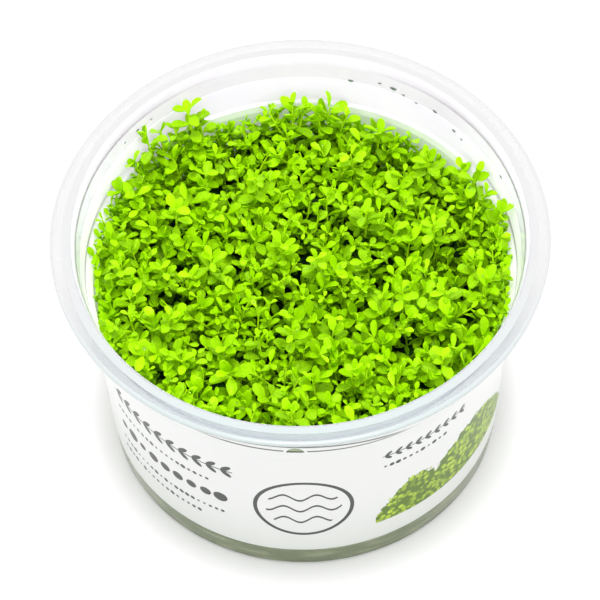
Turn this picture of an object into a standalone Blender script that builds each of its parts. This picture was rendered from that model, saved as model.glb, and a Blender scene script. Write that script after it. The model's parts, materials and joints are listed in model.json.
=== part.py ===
"""Dwarf baby tears, a carpet of tiny rooted shoots, grown on gel in an open tissue-culture cup.

Metres, +Z up. The origin is the centre of the cup's base, and the label's half-moon faces -Y.
"""

import math
import random

import bmesh
import bpy
from mathutils import Vector
from mathutils.geometry import delaunay_2d_cdt

MM = 0.001
FIT_GAP = 0.3 * MM
WELD_DISTANCE = 1e-7
SEED = 7

# The cup: one thin moulding with a wide flange, a flared mouth, a step and a tapered wall.
CUP_HEIGHT = 60.7 * MM
FLANGE_RADIUS = 50.5 * MM
FLANGE_THICKNESS = 1.1 * MM
FLANGE_EDGE = 0.3 * MM
MOUTH_RADIUS = 46.0 * MM
MOUTH_LIP_DROP = 2.2 * MM
MOUTH_LIP_INSET = 0.75 * MM
WALL = 0.75 * MM
STEP_TOP = 49.0 * MM
STEP_BOTTOM = 47.0 * MM
STEP_TOP_RADIUS = 44.45 * MM
STEP_BOTTOM_RADIUS = 43.27 * MM
BASE_RADIUS = 40.5 * MM
BASE_THICKNESS = 1.0 * MM
BASE_CORNER = 1.3 * MM
BASE_CORNER_EASE = 0.4 * MM
BASE_CORNER_INSIDE = 2.6 * MM
STEP_SOFTENING = 0.2 * MM
TURN_STEPS = 36
SMOOTH_ANGLE = math.radians(35.0)

# The label: a film that follows the wall, with a butt seam at the back and a half-moon at the front.
LABEL_BOTTOM = 6.7 * MM
LABEL_TOP = 54.1 * MM
LABEL_THICKNESS = 0.25 * MM
LABEL_SEAM = 0.6 * MM
HALF_MOON_CENTRE = Vector((-2.25 * MM, -44.5 * MM, 48.7 * MM))
HALF_MOON_HALF_WIDTH = 1.8 * MM
HALF_MOON_HEIGHT = 2.2 * MM
HALF_MOON_DEPTH = 6.0 * MM
HALF_MOON_POINTS = 7

# The gel that the roots stand in.
GEL_TOP = 11.0 * MM
GEL_CORNER = 2.86 * MM
GEL_CORNER_GAP = 0.39 * MM
GEL_FLOOR_INSET = 2.44 * MM
GEL_STEPS = 24

# The carpet: hundreds of short shoots, grown into one mat with gaps between them. Tips stand on it
# in two crossed pairs of leaves, and tufts of leaves of many heights fill the space between the tips.
CARPET_TOP = 45.4 * MM
CARPET_SIDE_RISE = 1.6 * MM
CARPET_BACK_DROP = 1.6 * MM
CARPET_EDGE_RADIUS = 41.9 * MM
CARPET_EDGE_POINTS = 40
CARPET_FOOT_GAP = 0.45 * MM
CARPET_JITTER = 0.45 * MM
TUFT_COUNT = 340
TUFT_RELIEF = (-4.4 * MM, 0.6 * MM)
TUFT_PAD_ROOM = 1.7 * MM
TUFT_START_ANGLE = 1.0
TUFT_FIELD_RADIUS = 40.4 * MM
PAD_RISE = 0.8 * MM
TIP_COUNT = 81
TIP_FIELD_RADIUS = 39.0 * MM
GOLDEN_ANGLE = math.pi * (3.0 - math.sqrt(5.0))
PAD_HALF_WIDTH = 0.42 * MM
TIP_LEVEL = 0.62 * MM
TIP_PAIRS = 2

# Mounds, where the mat climbs the wall: x, y, reach and rise in millimetres.
MOUNDS = (
    (-35.5, 21.0, 7.0, 3.6),
    (-25.0, 33.0, 6.0, 3.2),
    (-39.0, 9.0, 6.0, 2.6),
    (-4.0, 40.0, 5.0, 3.0),
    (39.0, 13.0, 6.0, 2.4),
    (40.5, -7.0, 6.0, 3.0),
)

# Hollows, where no shoot grows and the mat is open: x and y in millimetres.
HOLLOWS = (
    (-24.2, 24.5),
    (0.6, 6.0),
    (-14.2, 4.8),
    (20.7, -21.5),
    (6.8, -29.6),
    (-13.2, -22.5),
)
HOLLOW_RADIUS = 2.6 * MM
HOLLOW_DEPTH = 6.0 * MM
HOLLOW_RIM_DROP = 1.5 * MM
HOLLOW_RIM_POINTS = 6
HOLLOW_ROOM = 3.4 * MM

# Leaves and stems, at their real size.
LEAF_LENGTH = 3.1 * MM
LEAF_WIDTH = 2.6 * MM
LEAF_THICKNESS = 0.42 * MM
LEAF_WIDEST = 0.52
LEAF_BASE_TILT = math.radians(17.0)
LEAF_TILT_STEP = math.radians(8.0)
LEAF_TILT_SPREAD = 0.04
LEAF_LENGTH_SPREAD = (0.92, 1.06)
LEAF_WALL_ROOM = 0.5 * MM
LEAF_SHARES_BY_THE_WALL = (1.0, 0.85, 0.7, 0.55, 0.4, 0.3)
STEM_HALF_WIDTH = 0.4 * MM
STEM_JOINT = 0.6 * MM
SHOOT_LEAF_GROWTH = 1.02

# Some tips, spread over the whole field, are shoots that stand clear of the carpet.
SHOOT_COUNT = 20
SHOOT_RISE = 2.3 * MM
SHOOT_RISE_SPREAD = 1.5 * MM
SHOOT_PAIRS = 3

# The tallest shoots lean on the wall: degrees of the foot from +X, tip in millimetres, pairs of leaves.
TALL_SHOOTS = (
    (121.0, (-22.2, 36.4, 58.2), 5),
    (135.0, (-31.0, 30.4, 53.8), 4),
    (92.0, (-1.3, 40.6, 53.0), 4),
    (80.0, (6.6, 39.8, 51.6), 4),
    (64.0, (17.4, 36.4, 50.6), 3),
    (31.0, (37.4, 20.6, 55.0), 4),
    (13.0, (41.4, 9.8, 54.6), 4),
)
TALL_FOOT_RADIUS = 38.6 * MM
TALL_CLEARANCE = 6.4 * MM

# Each material's colour and roughness.
MATERIALS = {
    "cup_plastic": ((0.90, 0.93, 0.93, 1.0), 0.25),
    "label_film": ((0.86, 0.87, 0.86, 1.0), 0.45),
    "gel": ((0.27, 0.30, 0.17, 1.0), 0.2),
    "carpet_green": ((0.16, 0.42, 0.01, 1.0), 0.4),
    "shoot_green": ((0.32, 0.66, 0.02, 1.0), 0.35),
}


def clear_scene():
    for thing in list(bpy.data.objects):
        bpy.data.objects.remove(thing, do_unlink=True)


def make_material(name, colour, roughness):
    material = bpy.data.materials.new(name)
    material.use_nodes = True
    shader = material.node_tree.nodes["Principled BSDF"]
    shader.inputs["Base Color"].default_value = colour
    shader.inputs["Roughness"].default_value = roughness
    shader.inputs["Metallic"].default_value = 0.0
    return material


def finish_object(name, bm, material, smooth_angle=None):
    """Turn a bmesh into a named object with its material, smooth up to an angle if one is given."""
    mesh = bpy.data.meshes.new(name)
    bm.to_mesh(mesh)
    bm.free()
    if smooth_angle is not None:
        mesh.shade_smooth()
        mesh.set_sharp_from_angle(angle=smooth_angle)
    mesh.materials.append(material)
    thing = bpy.data.objects.new(name, mesh)
    bpy.context.scene.collection.objects.link(thing)
    return thing


def wall_outer(z):
    """Outer radius of the cup's wall at a height."""
    if z <= STEP_BOTTOM:
        return BASE_RADIUS + (STEP_BOTTOM_RADIUS - BASE_RADIUS) * z / STEP_BOTTOM
    if z <= STEP_TOP:
        share = (z - STEP_BOTTOM) / (STEP_TOP - STEP_BOTTOM)
        return STEP_BOTTOM_RADIUS + (STEP_TOP_RADIUS - STEP_BOTTOM_RADIUS) * share
    lip_bottom = CUP_HEIGHT - MOUTH_LIP_DROP
    lip_radius = MOUTH_RADIUS - MOUTH_LIP_INSET + WALL
    share = (z - STEP_TOP) / (lip_bottom - STEP_TOP)
    return STEP_TOP_RADIUS + (lip_radius - STEP_TOP_RADIUS) * share


def wall_inner(z):
    return wall_outer(z) - WALL


def spin_profile(bm, points, steps, angle=2.0 * math.pi, start=0.0):
    """Turn a profile of (radius, height) points round the Z axis. A full turn is welded shut."""
    full = angle > 2.0 * math.pi - 1e-6
    direction = Vector((math.cos(start), math.sin(start), 0.0))
    verts = [bm.verts.new(direction * radius + Vector((0.0, 0.0, z))) for radius, z in points]
    if full:
        geometry = verts + [bm.edges.new(pair) for pair in zip(verts, verts[1:])]
    else:
        geometry = [bm.faces.new(verts)]
        geometry += list(geometry[0].verts) + list(geometry[0].edges)
    bmesh.ops.spin(
        bm, geom=geometry, cent=(0, 0, 0), axis=(0, 0, 1), angle=angle, steps=steps, use_merge=full
    )
    bmesh.ops.remove_doubles(bm, verts=bm.verts[:], dist=WELD_DISTANCE)
    bmesh.ops.recalc_face_normals(bm, faces=bm.faces[:])


def cup_profile():
    """Out along the underside, up the outer wall, over the flange and down the inside."""
    lip_z = CUP_HEIGHT - MOUTH_LIP_DROP
    under_flange = CUP_HEIGHT - FLANGE_THICKNESS
    lip_outer = wall_outer(lip_z)
    return [
        (0.0, 0.0),
        (BASE_RADIUS - BASE_CORNER, 0.0),
        (BASE_RADIUS - BASE_CORNER_EASE, BASE_CORNER_EASE),
        (wall_outer(BASE_CORNER), BASE_CORNER),
        (STEP_BOTTOM_RADIUS, STEP_BOTTOM),
        (STEP_TOP_RADIUS, STEP_TOP),
        (lip_outer, lip_z),
        (lip_outer + MOUTH_LIP_INSET, under_flange),
        (FLANGE_RADIUS - FLANGE_EDGE, under_flange),
        (FLANGE_RADIUS, under_flange + FLANGE_EDGE),
        (FLANGE_RADIUS, CUP_HEIGHT - FLANGE_EDGE),
        (FLANGE_RADIUS - FLANGE_EDGE, CUP_HEIGHT),
        (MOUTH_RADIUS, CUP_HEIGHT),
        (lip_outer - WALL, lip_z),
        (wall_inner(STEP_TOP), STEP_TOP),
        (wall_inner(STEP_BOTTOM), STEP_BOTTOM + STEP_SOFTENING),
        (wall_inner(BASE_CORNER_INSIDE), BASE_CORNER_INSIDE),
        (BASE_RADIUS - WALL - BASE_CORNER, BASE_THICKNESS),
        (0.0, BASE_THICKNESS),
    ]


def make_cup(material):
    bm = bmesh.new()
    spin_profile(bm, cup_profile(), TURN_STEPS)
    return finish_object("cup", bm, material, smooth_angle=SMOOTH_ANGLE)


def half_moon_cutter():
    """An arched block that crosses the label's front, flat side down."""
    bm = bmesh.new()
    verts = []
    for step in range(HALF_MOON_POINTS):
        angle = math.pi * step / (HALF_MOON_POINTS - 1)
        across = HALF_MOON_HALF_WIDTH * math.cos(angle)
        up = HALF_MOON_HEIGHT * math.sin(angle)
        verts.append(bm.verts.new(HALF_MOON_CENTRE + Vector((across, -0.5 * HALF_MOON_DEPTH, up))))
    front = bm.faces.new(verts)
    back = bmesh.ops.extrude_face_region(bm, geom=[front])["geom"]
    moved = [part for part in back if isinstance(part, bmesh.types.BMVert)]
    bmesh.ops.translate(bm, verts=moved, vec=(0.0, HALF_MOON_DEPTH, 0.0))
    bmesh.ops.recalc_face_normals(bm, faces=bm.faces[:])
    mesh = bpy.data.meshes.new("half_moon_cutter")
    bm.to_mesh(mesh)
    bm.free()
    cutter = bpy.data.objects.new("half_moon_cutter", mesh)
    bpy.context.scene.collection.objects.link(cutter)
    cutter.hide_render = True
    cutter.display_type = "WIRE"
    return cutter


def make_label(material):
    heights = (LABEL_BOTTOM, STEP_BOTTOM, STEP_TOP, LABEL_TOP)
    inner = [(wall_outer(z) + FIT_GAP, z) for z in heights]
    outer = [(radius + LABEL_THICKNESS, z) for radius, z in reversed(inner)]
    seam_angle = LABEL_SEAM / STEP_BOTTOM_RADIUS
    bm = bmesh.new()
    spin_profile(
        bm,
        inner + outer,
        TURN_STEPS,
        angle=2.0 * math.pi - seam_angle,
        start=0.5 * math.pi + 0.5 * seam_angle,
    )
    label = finish_object("label", bm, material, smooth_angle=SMOOTH_ANGLE)
    cut = label.modifiers.new("half_moon", "BOOLEAN")
    cut.operation = "DIFFERENCE"
    cut.solver = "EXACT"
    cut.object = half_moon_cutter()
    return label


def make_gel(material):
    floor = BASE_THICKNESS + FIT_GAP
    bm = bmesh.new()
    profile = [
        (0.0, floor),
        (BASE_RADIUS - GEL_FLOOR_INSET, floor),
        (wall_inner(GEL_CORNER) - GEL_CORNER_GAP, GEL_CORNER),
        (wall_inner(GEL_TOP) - FIT_GAP, GEL_TOP),
        (0.0, GEL_TOP),
    ]
    spin_profile(bm, profile, GEL_STEPS)
    return finish_object("gel", bm, material, smooth_angle=SMOOTH_ANGLE)


def carpet_height(x, y):
    """Height of the mat between its tips: higher at the sides and on its mounds, lower at the back."""
    side = (x / CARPET_EDGE_RADIUS) ** 2
    back = max(0.0, y / CARPET_EDGE_RADIUS) ** 2
    height = CARPET_TOP + CARPET_SIDE_RISE * side - CARPET_BACK_DROP * back
    for mound_x, mound_y, reach, rise in MOUNDS:
        away = math.hypot(x / MM - mound_x, y / MM - mound_y) / reach
        height += rise * MM * math.exp(-(away**2))
    return height


def polar(radius, angle):
    return Vector((radius * math.cos(angle), radius * math.sin(angle)))


def tall_feet():
    return [polar(TALL_FOOT_RADIUS, math.radians(degrees)) for degrees, _, _ in TALL_SHOOTS]


def hollow_centres():
    return [Vector(place) * MM for place in HOLLOWS]


def spread(count, field_radius, others, room, start=0.0):
    """Evenly spread places in a disc, left open in the hollows and round some other places."""
    places = []
    for index in range(count):
        radius = field_radius * math.sqrt((index + 0.5) / count)
        place = polar(radius, start + index * GOLDEN_ANGLE)
        clear_of_others = min((place - other).length for other in others) > room
        clear_of_hollows = min((place - hollow).length for hollow in hollow_centres()) > HOLLOW_ROOM
        if clear_of_others and clear_of_hollows:
            places.append(place)
    return places


def nearest_tips(field, targets):
    """The indices of the tips that stand nearest to some places, each taken once."""
    chosen = []
    for target in targets:
        free = [index for index in range(len(field)) if index not in chosen]
        chosen.append(min(free, key=lambda index: (field[index] - target).length))
    return sorted(chosen)


def make_pads(places, feet, draws):
    """A small level square for each place: (centre, turn, height). At the wall its corners point out."""
    pads = []
    for place in places + feet:
        height = carpet_height(place.x, place.y) + PAD_RISE
        height += draws.uniform(-CARPET_JITTER, CARPET_JITTER)
        turn = draws.uniform(0.0, 0.5 * math.pi)
        if place in feet:
            turn = math.atan2(place.y, place.x)
        pads.append((place, turn, height))
    return pads


def pad_corners(centre, turn):
    reach = PAD_HALF_WIDTH * math.sqrt(2.0)
    return [centre + polar(reach, turn + 0.5 * math.pi * corner) for corner in range(4)]


def hollow_points():
    """A funnel for each hollow: its lowest point and a ring round its mouth."""
    points = []
    for centre in hollow_centres():
        level = carpet_height(centre.x, centre.y)
        points.append((centre, level - HOLLOW_DEPTH))
        for step in range(HOLLOW_RIM_POINTS):
            rim = centre + polar(HOLLOW_RADIUS, 2.0 * math.pi * step / HOLLOW_RIM_POINTS)
            points.append((rim, level - HOLLOW_RIM_DROP))
    return points


def carpet_surface(bm, pads, draws):
    """The mat's top: pads, rim and a ruffle of leafy facets between them. Returns the pads as faces."""
    points = []
    heights = []
    for centre, turn, height in pads:
        points += pad_corners(centre, turn)
        heights += [height] * 4
    for step in range(CARPET_EDGE_POINTS):
        rim = polar(CARPET_EDGE_RADIUS, 2.0 * math.pi * step / CARPET_EDGE_POINTS)
        points.append(rim)
        heights.append(carpet_height(rim.x, rim.y) + draws.uniform(-1.0, 1.0) * CARPET_JITTER)
    for place, height in hollow_points():
        points.append(place)
        heights.append(height)
    centres = [centre for centre, _, _ in pads]
    for tuft in spread(TUFT_COUNT, TUFT_FIELD_RADIUS, centres, TUFT_PAD_ROOM, TUFT_START_ANGLE):
        points.append(tuft)
        heights.append(carpet_height(tuft.x, tuft.y) + draws.uniform(*TUFT_RELIEF))
    squares = [list(range(4 * index, 4 * index + 4)) for index in range(len(pads))]
    flat, _, faces, sources, _, owners = delaunay_2d_cdt(points, [], squares, 0, WELD_DISTANCE)
    verts = [
        bm.verts.new((point.x, point.y, heights[sources[index][0]]))
        for index, point in enumerate(flat)
    ]
    halves = {}
    for corners, owner in zip(faces, owners):
        face = bm.faces.new([verts[index] for index in corners])
        if owner:
            halves.setdefault(owner[0], []).append(face)
    return [
        bmesh.ops.dissolve_faces(bm, faces=halves[index])["region"][0] for index in range(len(pads))
    ]


def close_carpet(bm):
    """Drop a tapered side from the rim down to the gel and close the underside."""
    floor = GEL_TOP + FIT_GAP
    rim = [edge for edge in bm.edges if edge.is_boundary]
    dropped = bmesh.ops.extrude_edge_only(bm, edges=rim)["geom"]
    foot = [part for part in dropped if isinstance(part, bmesh.types.BMVert)]
    narrowing = (wall_inner(floor) - CARPET_FOOT_GAP) / CARPET_EDGE_RADIUS
    for vert in foot:
        vert.co = Vector((vert.co.x * narrowing, vert.co.y * narrowing, floor))
    open_edges = [edge for edge in bm.edges if edge.is_boundary]
    bmesh.ops.contextual_create(bm, geom=open_edges)
    bmesh.ops.recalc_face_normals(bm, faces=bm.faces[:])


def push_face(bm, face, shift):
    """Extrude one face by a shift and return the moved face."""
    moved = bmesh.ops.extrude_discrete_faces(bm, faces=[face])["faces"][0]
    bmesh.ops.translate(bm, verts=moved.verts, vec=shift)
    return moved


def sides_of(cap):
    """The four faces that run down from a square cap, in order."""
    return [loop.link_loop_radial_next.face for loop in cap.loops]


def share_with_room(root, along, across, length, width):
    """The largest share of a leaf's full size that stays clear of the wall."""
    for share in LEAF_SHARES_BY_THE_WALL:
        middle = root + along * length * share * LEAF_WIDEST
        outline = [root + along * length * share]
        outline += [middle + across * 0.5 * width * share, middle - across * 0.5 * width * share]
        if all(math.hypot(p.x, p.y) < wall_inner(p.z) - LEAF_WALL_ROOM for p in outline):
            return share
    return LEAF_SHARES_BY_THE_WALL[-1]


def grow_leaf(bm, side, tilt, length, width):
    """Draw a pointed blade out of one side of a stem: narrow foot, wide middle, closed tip."""
    out = Vector((side.normal.x, side.normal.y, 0.0)).normalized()
    across = Vector((0.0, 0.0, 1.0)).cross(out)
    along = out * math.cos(tilt) + Vector((0.0, 0.0, math.sin(tilt)))
    above = along.cross(across)
    share = share_with_room(side.calc_center_median(), along, across, length, width)
    length *= share
    width *= share
    middle = push_face(bm, side, along * length * LEAF_WIDEST)
    centre = middle.calc_center_median()
    for vert in middle.verts:
        offset = vert.co - centre
        sideways = math.copysign(0.5 * width, offset.dot(across))
        upwards = math.copysign(0.5 * LEAF_THICKNESS, offset.z)
        vert.co = centre + across * sideways + above * upwards
    tip = push_face(bm, middle, along * length * (1.0 - LEAF_WIDEST))
    bmesh.ops.pointmerge(bm, verts=tip.verts[:], merge_co=tip.calc_center_median())


def grow_pairs(bm, cap, pairs, level, joints, size, draws):
    """Raise a stem from a cap with crossed pairs of leaves. joints holds the bare shift below each pair."""
    for pair in range(pairs):
        if joints[pair].length > 0.0:
            cap = push_face(bm, cap, joints[pair])
        cap = push_face(bm, cap, Vector((0.0, 0.0, level)))
        sides = sides_of(cap)
        tilt = LEAF_BASE_TILT + LEAF_TILT_STEP * pair
        for side in (sides[pair % 2], sides[pair % 2 + 2]):
            length = LEAF_LENGTH * size * draws.uniform(*LEAF_LENGTH_SPREAD)
            turned = tilt + draws.uniform(-LEAF_TILT_SPREAD, LEAF_TILT_SPREAD)
            grow_leaf(bm, side, turned, length, LEAF_WIDTH * size)
    return cap


def make_carpet(pads, standing, draws, material):
    """The mat, with two crossed pairs of leaves fused on every pad that carries no separate shoot."""
    bm = bmesh.new()
    pad_faces = carpet_surface(bm, pads, draws)
    close_carpet(bm)
    bare = [Vector((0.0, 0.0, 0.0))] * TIP_PAIRS
    for index, face in enumerate(pad_faces):
        if index not in standing:
            grow_pairs(bm, face, TIP_PAIRS, TIP_LEVEL, bare, 1.0, draws)
    return finish_object("carpet", bm, material)


def make_shoot(name, foot, tip, turn, pairs, draws, material):
    """A square stem from its foot to its tip, with crossed pairs of leaves along it."""
    bm = bmesh.new()
    reach = STEM_HALF_WIDTH * math.sqrt(2.0)
    corners = [polar(reach, turn + 0.5 * math.pi * corner) for corner in range(4)]
    verts = [bm.verts.new((foot.x + corner.x, foot.y + corner.y, foot.z)) for corner in corners]
    sole = bm.faces.new(verts)
    cap = bm.faces.new(
        [bm.verts.new(vert.co + Vector((0.0, 0.0, STEM_JOINT))) for vert in verts]
    )
    bmesh.ops.bridge_loops(bm, edges=sole.edges[:] + cap.edges[:])
    bmesh.ops.recalc_face_normals(bm, faces=bm.faces[:])
    rise = tip - foot - Vector((0.0, 0.0, STEM_JOINT * (pairs + 1)))
    joints = [rise / pairs] * pairs
    cap = [face for face in bm.faces if face.normal.z > 0.5][0]
    grow_pairs(bm, cap, pairs, STEM_JOINT, joints, SHOOT_LEAF_GROWTH, draws)
    return finish_object(name, bm, material)


def main():
    clear_scene()
    draws = random.Random(SEED)
    made = [make_material(name, *look) for name, look in MATERIALS.items()]
    plastic, film, jelly, mat_green, leaf_green = made
    make_cup(plastic)
    make_label(film)
    make_gel(jelly)

    feet = tall_feet()
    field = spread(TIP_COUNT, TIP_FIELD_RADIUS, feet, TALL_CLEARANCE)
    pads = make_pads(field, feet, draws)
    low = nearest_tips(field, spread(SHOOT_COUNT, TIP_FIELD_RADIUS, feet, TALL_CLEARANCE))
    tall = list(range(len(field), len(pads)))
    make_carpet(pads, set(low + tall), draws, mat_green)

    for number, index in enumerate(low + tall, start=1):
        centre, turn, height = pads[index]
        foot = Vector((centre.x, centre.y, height + FIT_GAP))
        if index in tall:
            _, tip_mm, pairs = TALL_SHOOTS[index - len(field)]
            tip = Vector(tip_mm) * MM
        else:
            rise = SHOOT_RISE + draws.uniform(0.0, SHOOT_RISE_SPREAD)
            tip = foot + Vector((0.0, 0.0, rise + STEM_JOINT * SHOOT_PAIRS))
            pairs = SHOOT_PAIRS
        make_shoot(f"shoot_{number:02d}", foot, tip, turn, pairs, draws, leaf_green)


main()
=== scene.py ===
# %% [markdown]
# # Dwarf baby tears on gel, in an open growing cup
# The real thing is a carpet of tiny aquarium plants, grown from a few cuttings in a round plastic cup.
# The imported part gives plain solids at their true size. This lesson dresses them: a smooth moulded cup,
# a wrapped label, a disc of gel, and some thousands of small glossy leaves on thin stems.
# Everything is in metres with +Z up, and the cup stands on z = 0 with the label's half-moon towards -Y.

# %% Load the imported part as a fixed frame
import json
import math
import random

import bmesh
import bpy
import numpy as np
from mathutils import Matrix, Quaternion, Vector

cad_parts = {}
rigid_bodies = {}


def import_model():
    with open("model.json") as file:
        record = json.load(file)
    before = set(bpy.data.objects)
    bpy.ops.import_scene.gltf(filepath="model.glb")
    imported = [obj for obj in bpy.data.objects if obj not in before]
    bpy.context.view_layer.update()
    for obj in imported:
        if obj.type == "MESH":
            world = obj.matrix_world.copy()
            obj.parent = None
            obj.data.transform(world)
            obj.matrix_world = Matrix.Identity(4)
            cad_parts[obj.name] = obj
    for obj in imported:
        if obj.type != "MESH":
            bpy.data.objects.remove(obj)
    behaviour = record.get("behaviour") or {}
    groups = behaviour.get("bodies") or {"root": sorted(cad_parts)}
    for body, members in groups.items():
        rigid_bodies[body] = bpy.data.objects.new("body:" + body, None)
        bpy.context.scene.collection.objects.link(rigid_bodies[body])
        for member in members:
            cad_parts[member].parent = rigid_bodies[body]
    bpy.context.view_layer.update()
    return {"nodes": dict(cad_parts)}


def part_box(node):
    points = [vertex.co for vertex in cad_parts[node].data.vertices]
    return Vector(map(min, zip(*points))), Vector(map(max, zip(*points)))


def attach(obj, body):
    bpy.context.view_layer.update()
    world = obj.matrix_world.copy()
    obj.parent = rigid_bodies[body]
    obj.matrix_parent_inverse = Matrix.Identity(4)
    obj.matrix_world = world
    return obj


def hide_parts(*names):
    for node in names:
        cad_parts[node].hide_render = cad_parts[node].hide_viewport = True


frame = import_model()
MM = 0.001
UP = Vector((0.0, 0.0, 1.0))


def add_object(name, data):
    """A new object in the scene, at the origin."""
    added = bpy.data.objects.new(name, data)
    bpy.context.scene.collection.objects.link(added)
    return added


# %% [markdown]
# ## The camera and the light
# The photograph looks down into the cup from in front, from far away with a long lens, so the rings of
# the cup stay almost true ellipses. A camera is placed by three directions: its right, its up and its
# view. Writing them as the columns of a matrix says exactly where it looks, with no empty to aim at.
# The product stands in a white tent, which is a white world, one broad lamp overhead and a pale floor.

# %% Camera
CAMERA_PLACE = Vector((0.0, -473.93, 710.62)) * MM
CAMERA_RIGHT = Vector((0.99953393, -0.02466491, -0.0179878))
CAMERA_UP = Vector((0.0305232, 0.81717513, 0.5755807))
CAMERA_LENS = 240.0
CAMERA_SENSOR = 36.0


def make_camera():
    data = bpy.data.cameras.new("camera")
    data.lens = CAMERA_LENS
    data.sensor_width = CAMERA_SENSOR
    camera = add_object("camera", data)
    back = CAMERA_RIGHT.cross(CAMERA_UP)
    turn = Matrix((CAMERA_RIGHT, CAMERA_UP, back)).transposed()
    camera.matrix_world = Matrix.Translation(CAMERA_PLACE) @ turn.to_4x4()
    bpy.context.scene.camera = camera
    return camera


camera = make_camera()
print(f"camera {camera.location.length:.2f} m from the cup's base")

# %% Light
WORLD_LIGHT = 1.42
LAMP_SIZE = 0.45
LAMP_HEIGHT = 1.3
LAMP_POWER = 9.0


def make_world():
    world = bpy.data.worlds.new("white_tent")
    world.use_nodes = True
    background = world.node_tree.nodes["Background"]
    background.inputs["Color"].default_value = (1.0, 1.0, 1.0, 1.0)
    background.inputs["Strength"].default_value = WORLD_LIGHT
    bpy.context.scene.world = world
    bpy.context.scene.view_settings.view_transform = "Standard"


def add_lamp(name, kind, power, spot):
    data = bpy.data.lights.new(name, kind)
    data.energy = power
    lamp = add_object(name, data)
    lamp.location = spot
    return lamp


make_world()
overhead = add_lamp("overhead_lamp", "AREA", LAMP_POWER, (0.0, 0.0, LAMP_HEIGHT))
overhead.data.shape = "DISK"
overhead.data.size = LAMP_SIZE
print(f"white world, one lamp {LAMP_HEIGHT} m overhead")

# %% [markdown]
# ## Helpers for meshes
# Every piece starts as a bmesh, which is Blender's mesh in a form that its modelling operators can work
# on. `finish_mesh` turns one into an object at the origin, shaded smooth up to an angle, riding on the
# one body that this part has. `spin_profile` turns a profile round the axis, as a lathe would, and
# `rounded` gives the corners of a profile their fillets.

# %% Mesh helpers
SMOOTH_ANGLE = 40.0
FULL_TURN = 2.0 * math.pi
WELD_DISTANCE = 1e-7


def smooth_mesh(name, bm, materials, smooth_angle=SMOOTH_ANGLE):
    """A mesh from a bmesh, smooth but for edges that are sharper than the angle in degrees."""
    mesh = bpy.data.meshes.new(name)
    bm.to_mesh(mesh)
    bm.free()
    mesh.shade_smooth()
    mesh.set_sharp_from_angle(angle=math.radians(smooth_angle))
    for material in materials:
        mesh.materials.append(material)
    return mesh


def finish_mesh(name, bm, materials, slot, smooth_angle=SMOOTH_ANGLE):
    return place(name, smooth_mesh(name, bm, materials, smooth_angle), slot)


def place(name, mesh, slot):
    """Link a finished mesh as a piece that rides on the part's body."""
    piece = add_object(name, mesh)
    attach(piece, "root")
    print(f"{name}: {len(mesh.polygons)} faces")
    return piece


def spin_profile(bm, points, steps, angle=FULL_TURN, start=0.0):
    """Turn a profile of (radius, height) points round the Z axis and weld a full turn shut."""
    full = math.isclose(angle, FULL_TURN)
    outward = Vector((math.cos(start), math.sin(start), 0.0))
    verts = [bm.verts.new(outward * radius + UP * height) for radius, height in points]
    if full:
        geometry = verts + [bm.edges.new(pair) for pair in zip(verts, verts[1:])]
    else:
        face = bm.faces.new(verts)
        geometry = verts + list(face.edges) + [face]
    bmesh.ops.spin(
        bm, geom=geometry, cent=(0, 0, 0), axis=UP, angle=angle, steps=steps, use_merge=full
    )
    bmesh.ops.remove_doubles(bm, verts=bm.verts[:], dist=WELD_DISTANCE)
    bmesh.ops.recalc_face_normals(bm, faces=bm.faces[:])


def rounded(corners, arc_steps=4):
    """A path through (radius, height, fillet) corners, with each fillet drawn as an arc."""
    path = []
    for index, (radius, height, fillet) in enumerate(corners):
        here = Vector((radius, height))
        if fillet <= 0.0 or index in (0, len(corners) - 1):
            path.append(tuple(here))
            continue
        before = (Vector(corners[index - 1][:2]) - here).normalized()
        after = (Vector(corners[index + 1][:2]) - here).normalized()
        half = 0.5 * before.angle(after)
        reach = fillet / math.tan(half)
        centre = here + (before + after).normalized() * fillet / math.sin(half)
        first = here + before * reach - centre
        last = here + after * reach - centre
        sweep = first.angle_signed(last)
        for step in range(arc_steps + 1):
            turn = Matrix.Rotation(-sweep * step / arc_steps, 2)
            path.append(tuple(centre + turn @ first))
    return path


print("mesh helpers ready")

# %% [markdown]
# ## Helpers for materials
# A material here is one Principled shader and a few small nodes that vary it. `make_material` sets the
# sockets that are the same all over a surface. The other helpers add one node each and return its
# output, so that a pattern reads like a sum.

# %% Material helpers
NOISE_MIDDLE = (0.3, 0.7)
FINE_DETAIL = 3.0


def make_material(name, **sockets):
    material = bpy.data.materials.new(name)
    material.use_nodes = True
    shader = material.node_tree.nodes["Principled BSDF"]
    for socket, value in sockets.items():
        shader.inputs[socket.replace("_", " ")].default_value = value
    return material, material.node_tree, shader


def feed(tree, socket, value):
    """Set an input from a number or a colour, or link it from another node's output."""
    if isinstance(value, bpy.types.NodeSocket):
        tree.links.new(value, socket)
    else:
        socket.default_value = value


def add_node(tree, kind, inputs=(), **settings):
    """Add a shader node with its settings, and feed its first inputs in turn."""
    node = tree.nodes.new("ShaderNode" + kind)
    for setting, value in settings.items():
        setattr(node, setting, value)
    for socket, value in zip(node.inputs, inputs):
        feed(tree, socket, value)
    return node


def math_node(tree, operation, *values):
    return add_node(tree, "Math", values, operation=operation).outputs[0]


def spread_range(tree, value, low, high, new_low=0.0, new_high=1.0):
    return add_node(tree, "MapRange", (value, low, high, new_low, new_high)).outputs["Result"]


def mix_colours(tree, share, first, second, blend="MIX"):
    node = add_node(tree, "Mix", data_type="RGBA", blend_type=blend)
    for socket, value in (("Factor", share), ("A", first), ("B", second)):
        feed(tree, node.inputs[socket], value)
    return node.outputs["Result"]


def own_place(tree):
    return add_node(tree, "TexCoord").outputs["Object"]


def uv_place(tree, name):
    return add_node(tree, "UVMap", uv_map=name).outputs["UV"]


def axes(tree, place):
    """The X, Y and Z of a place, as three outputs."""
    return add_node(tree, "SeparateXYZ", [place]).outputs


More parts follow.
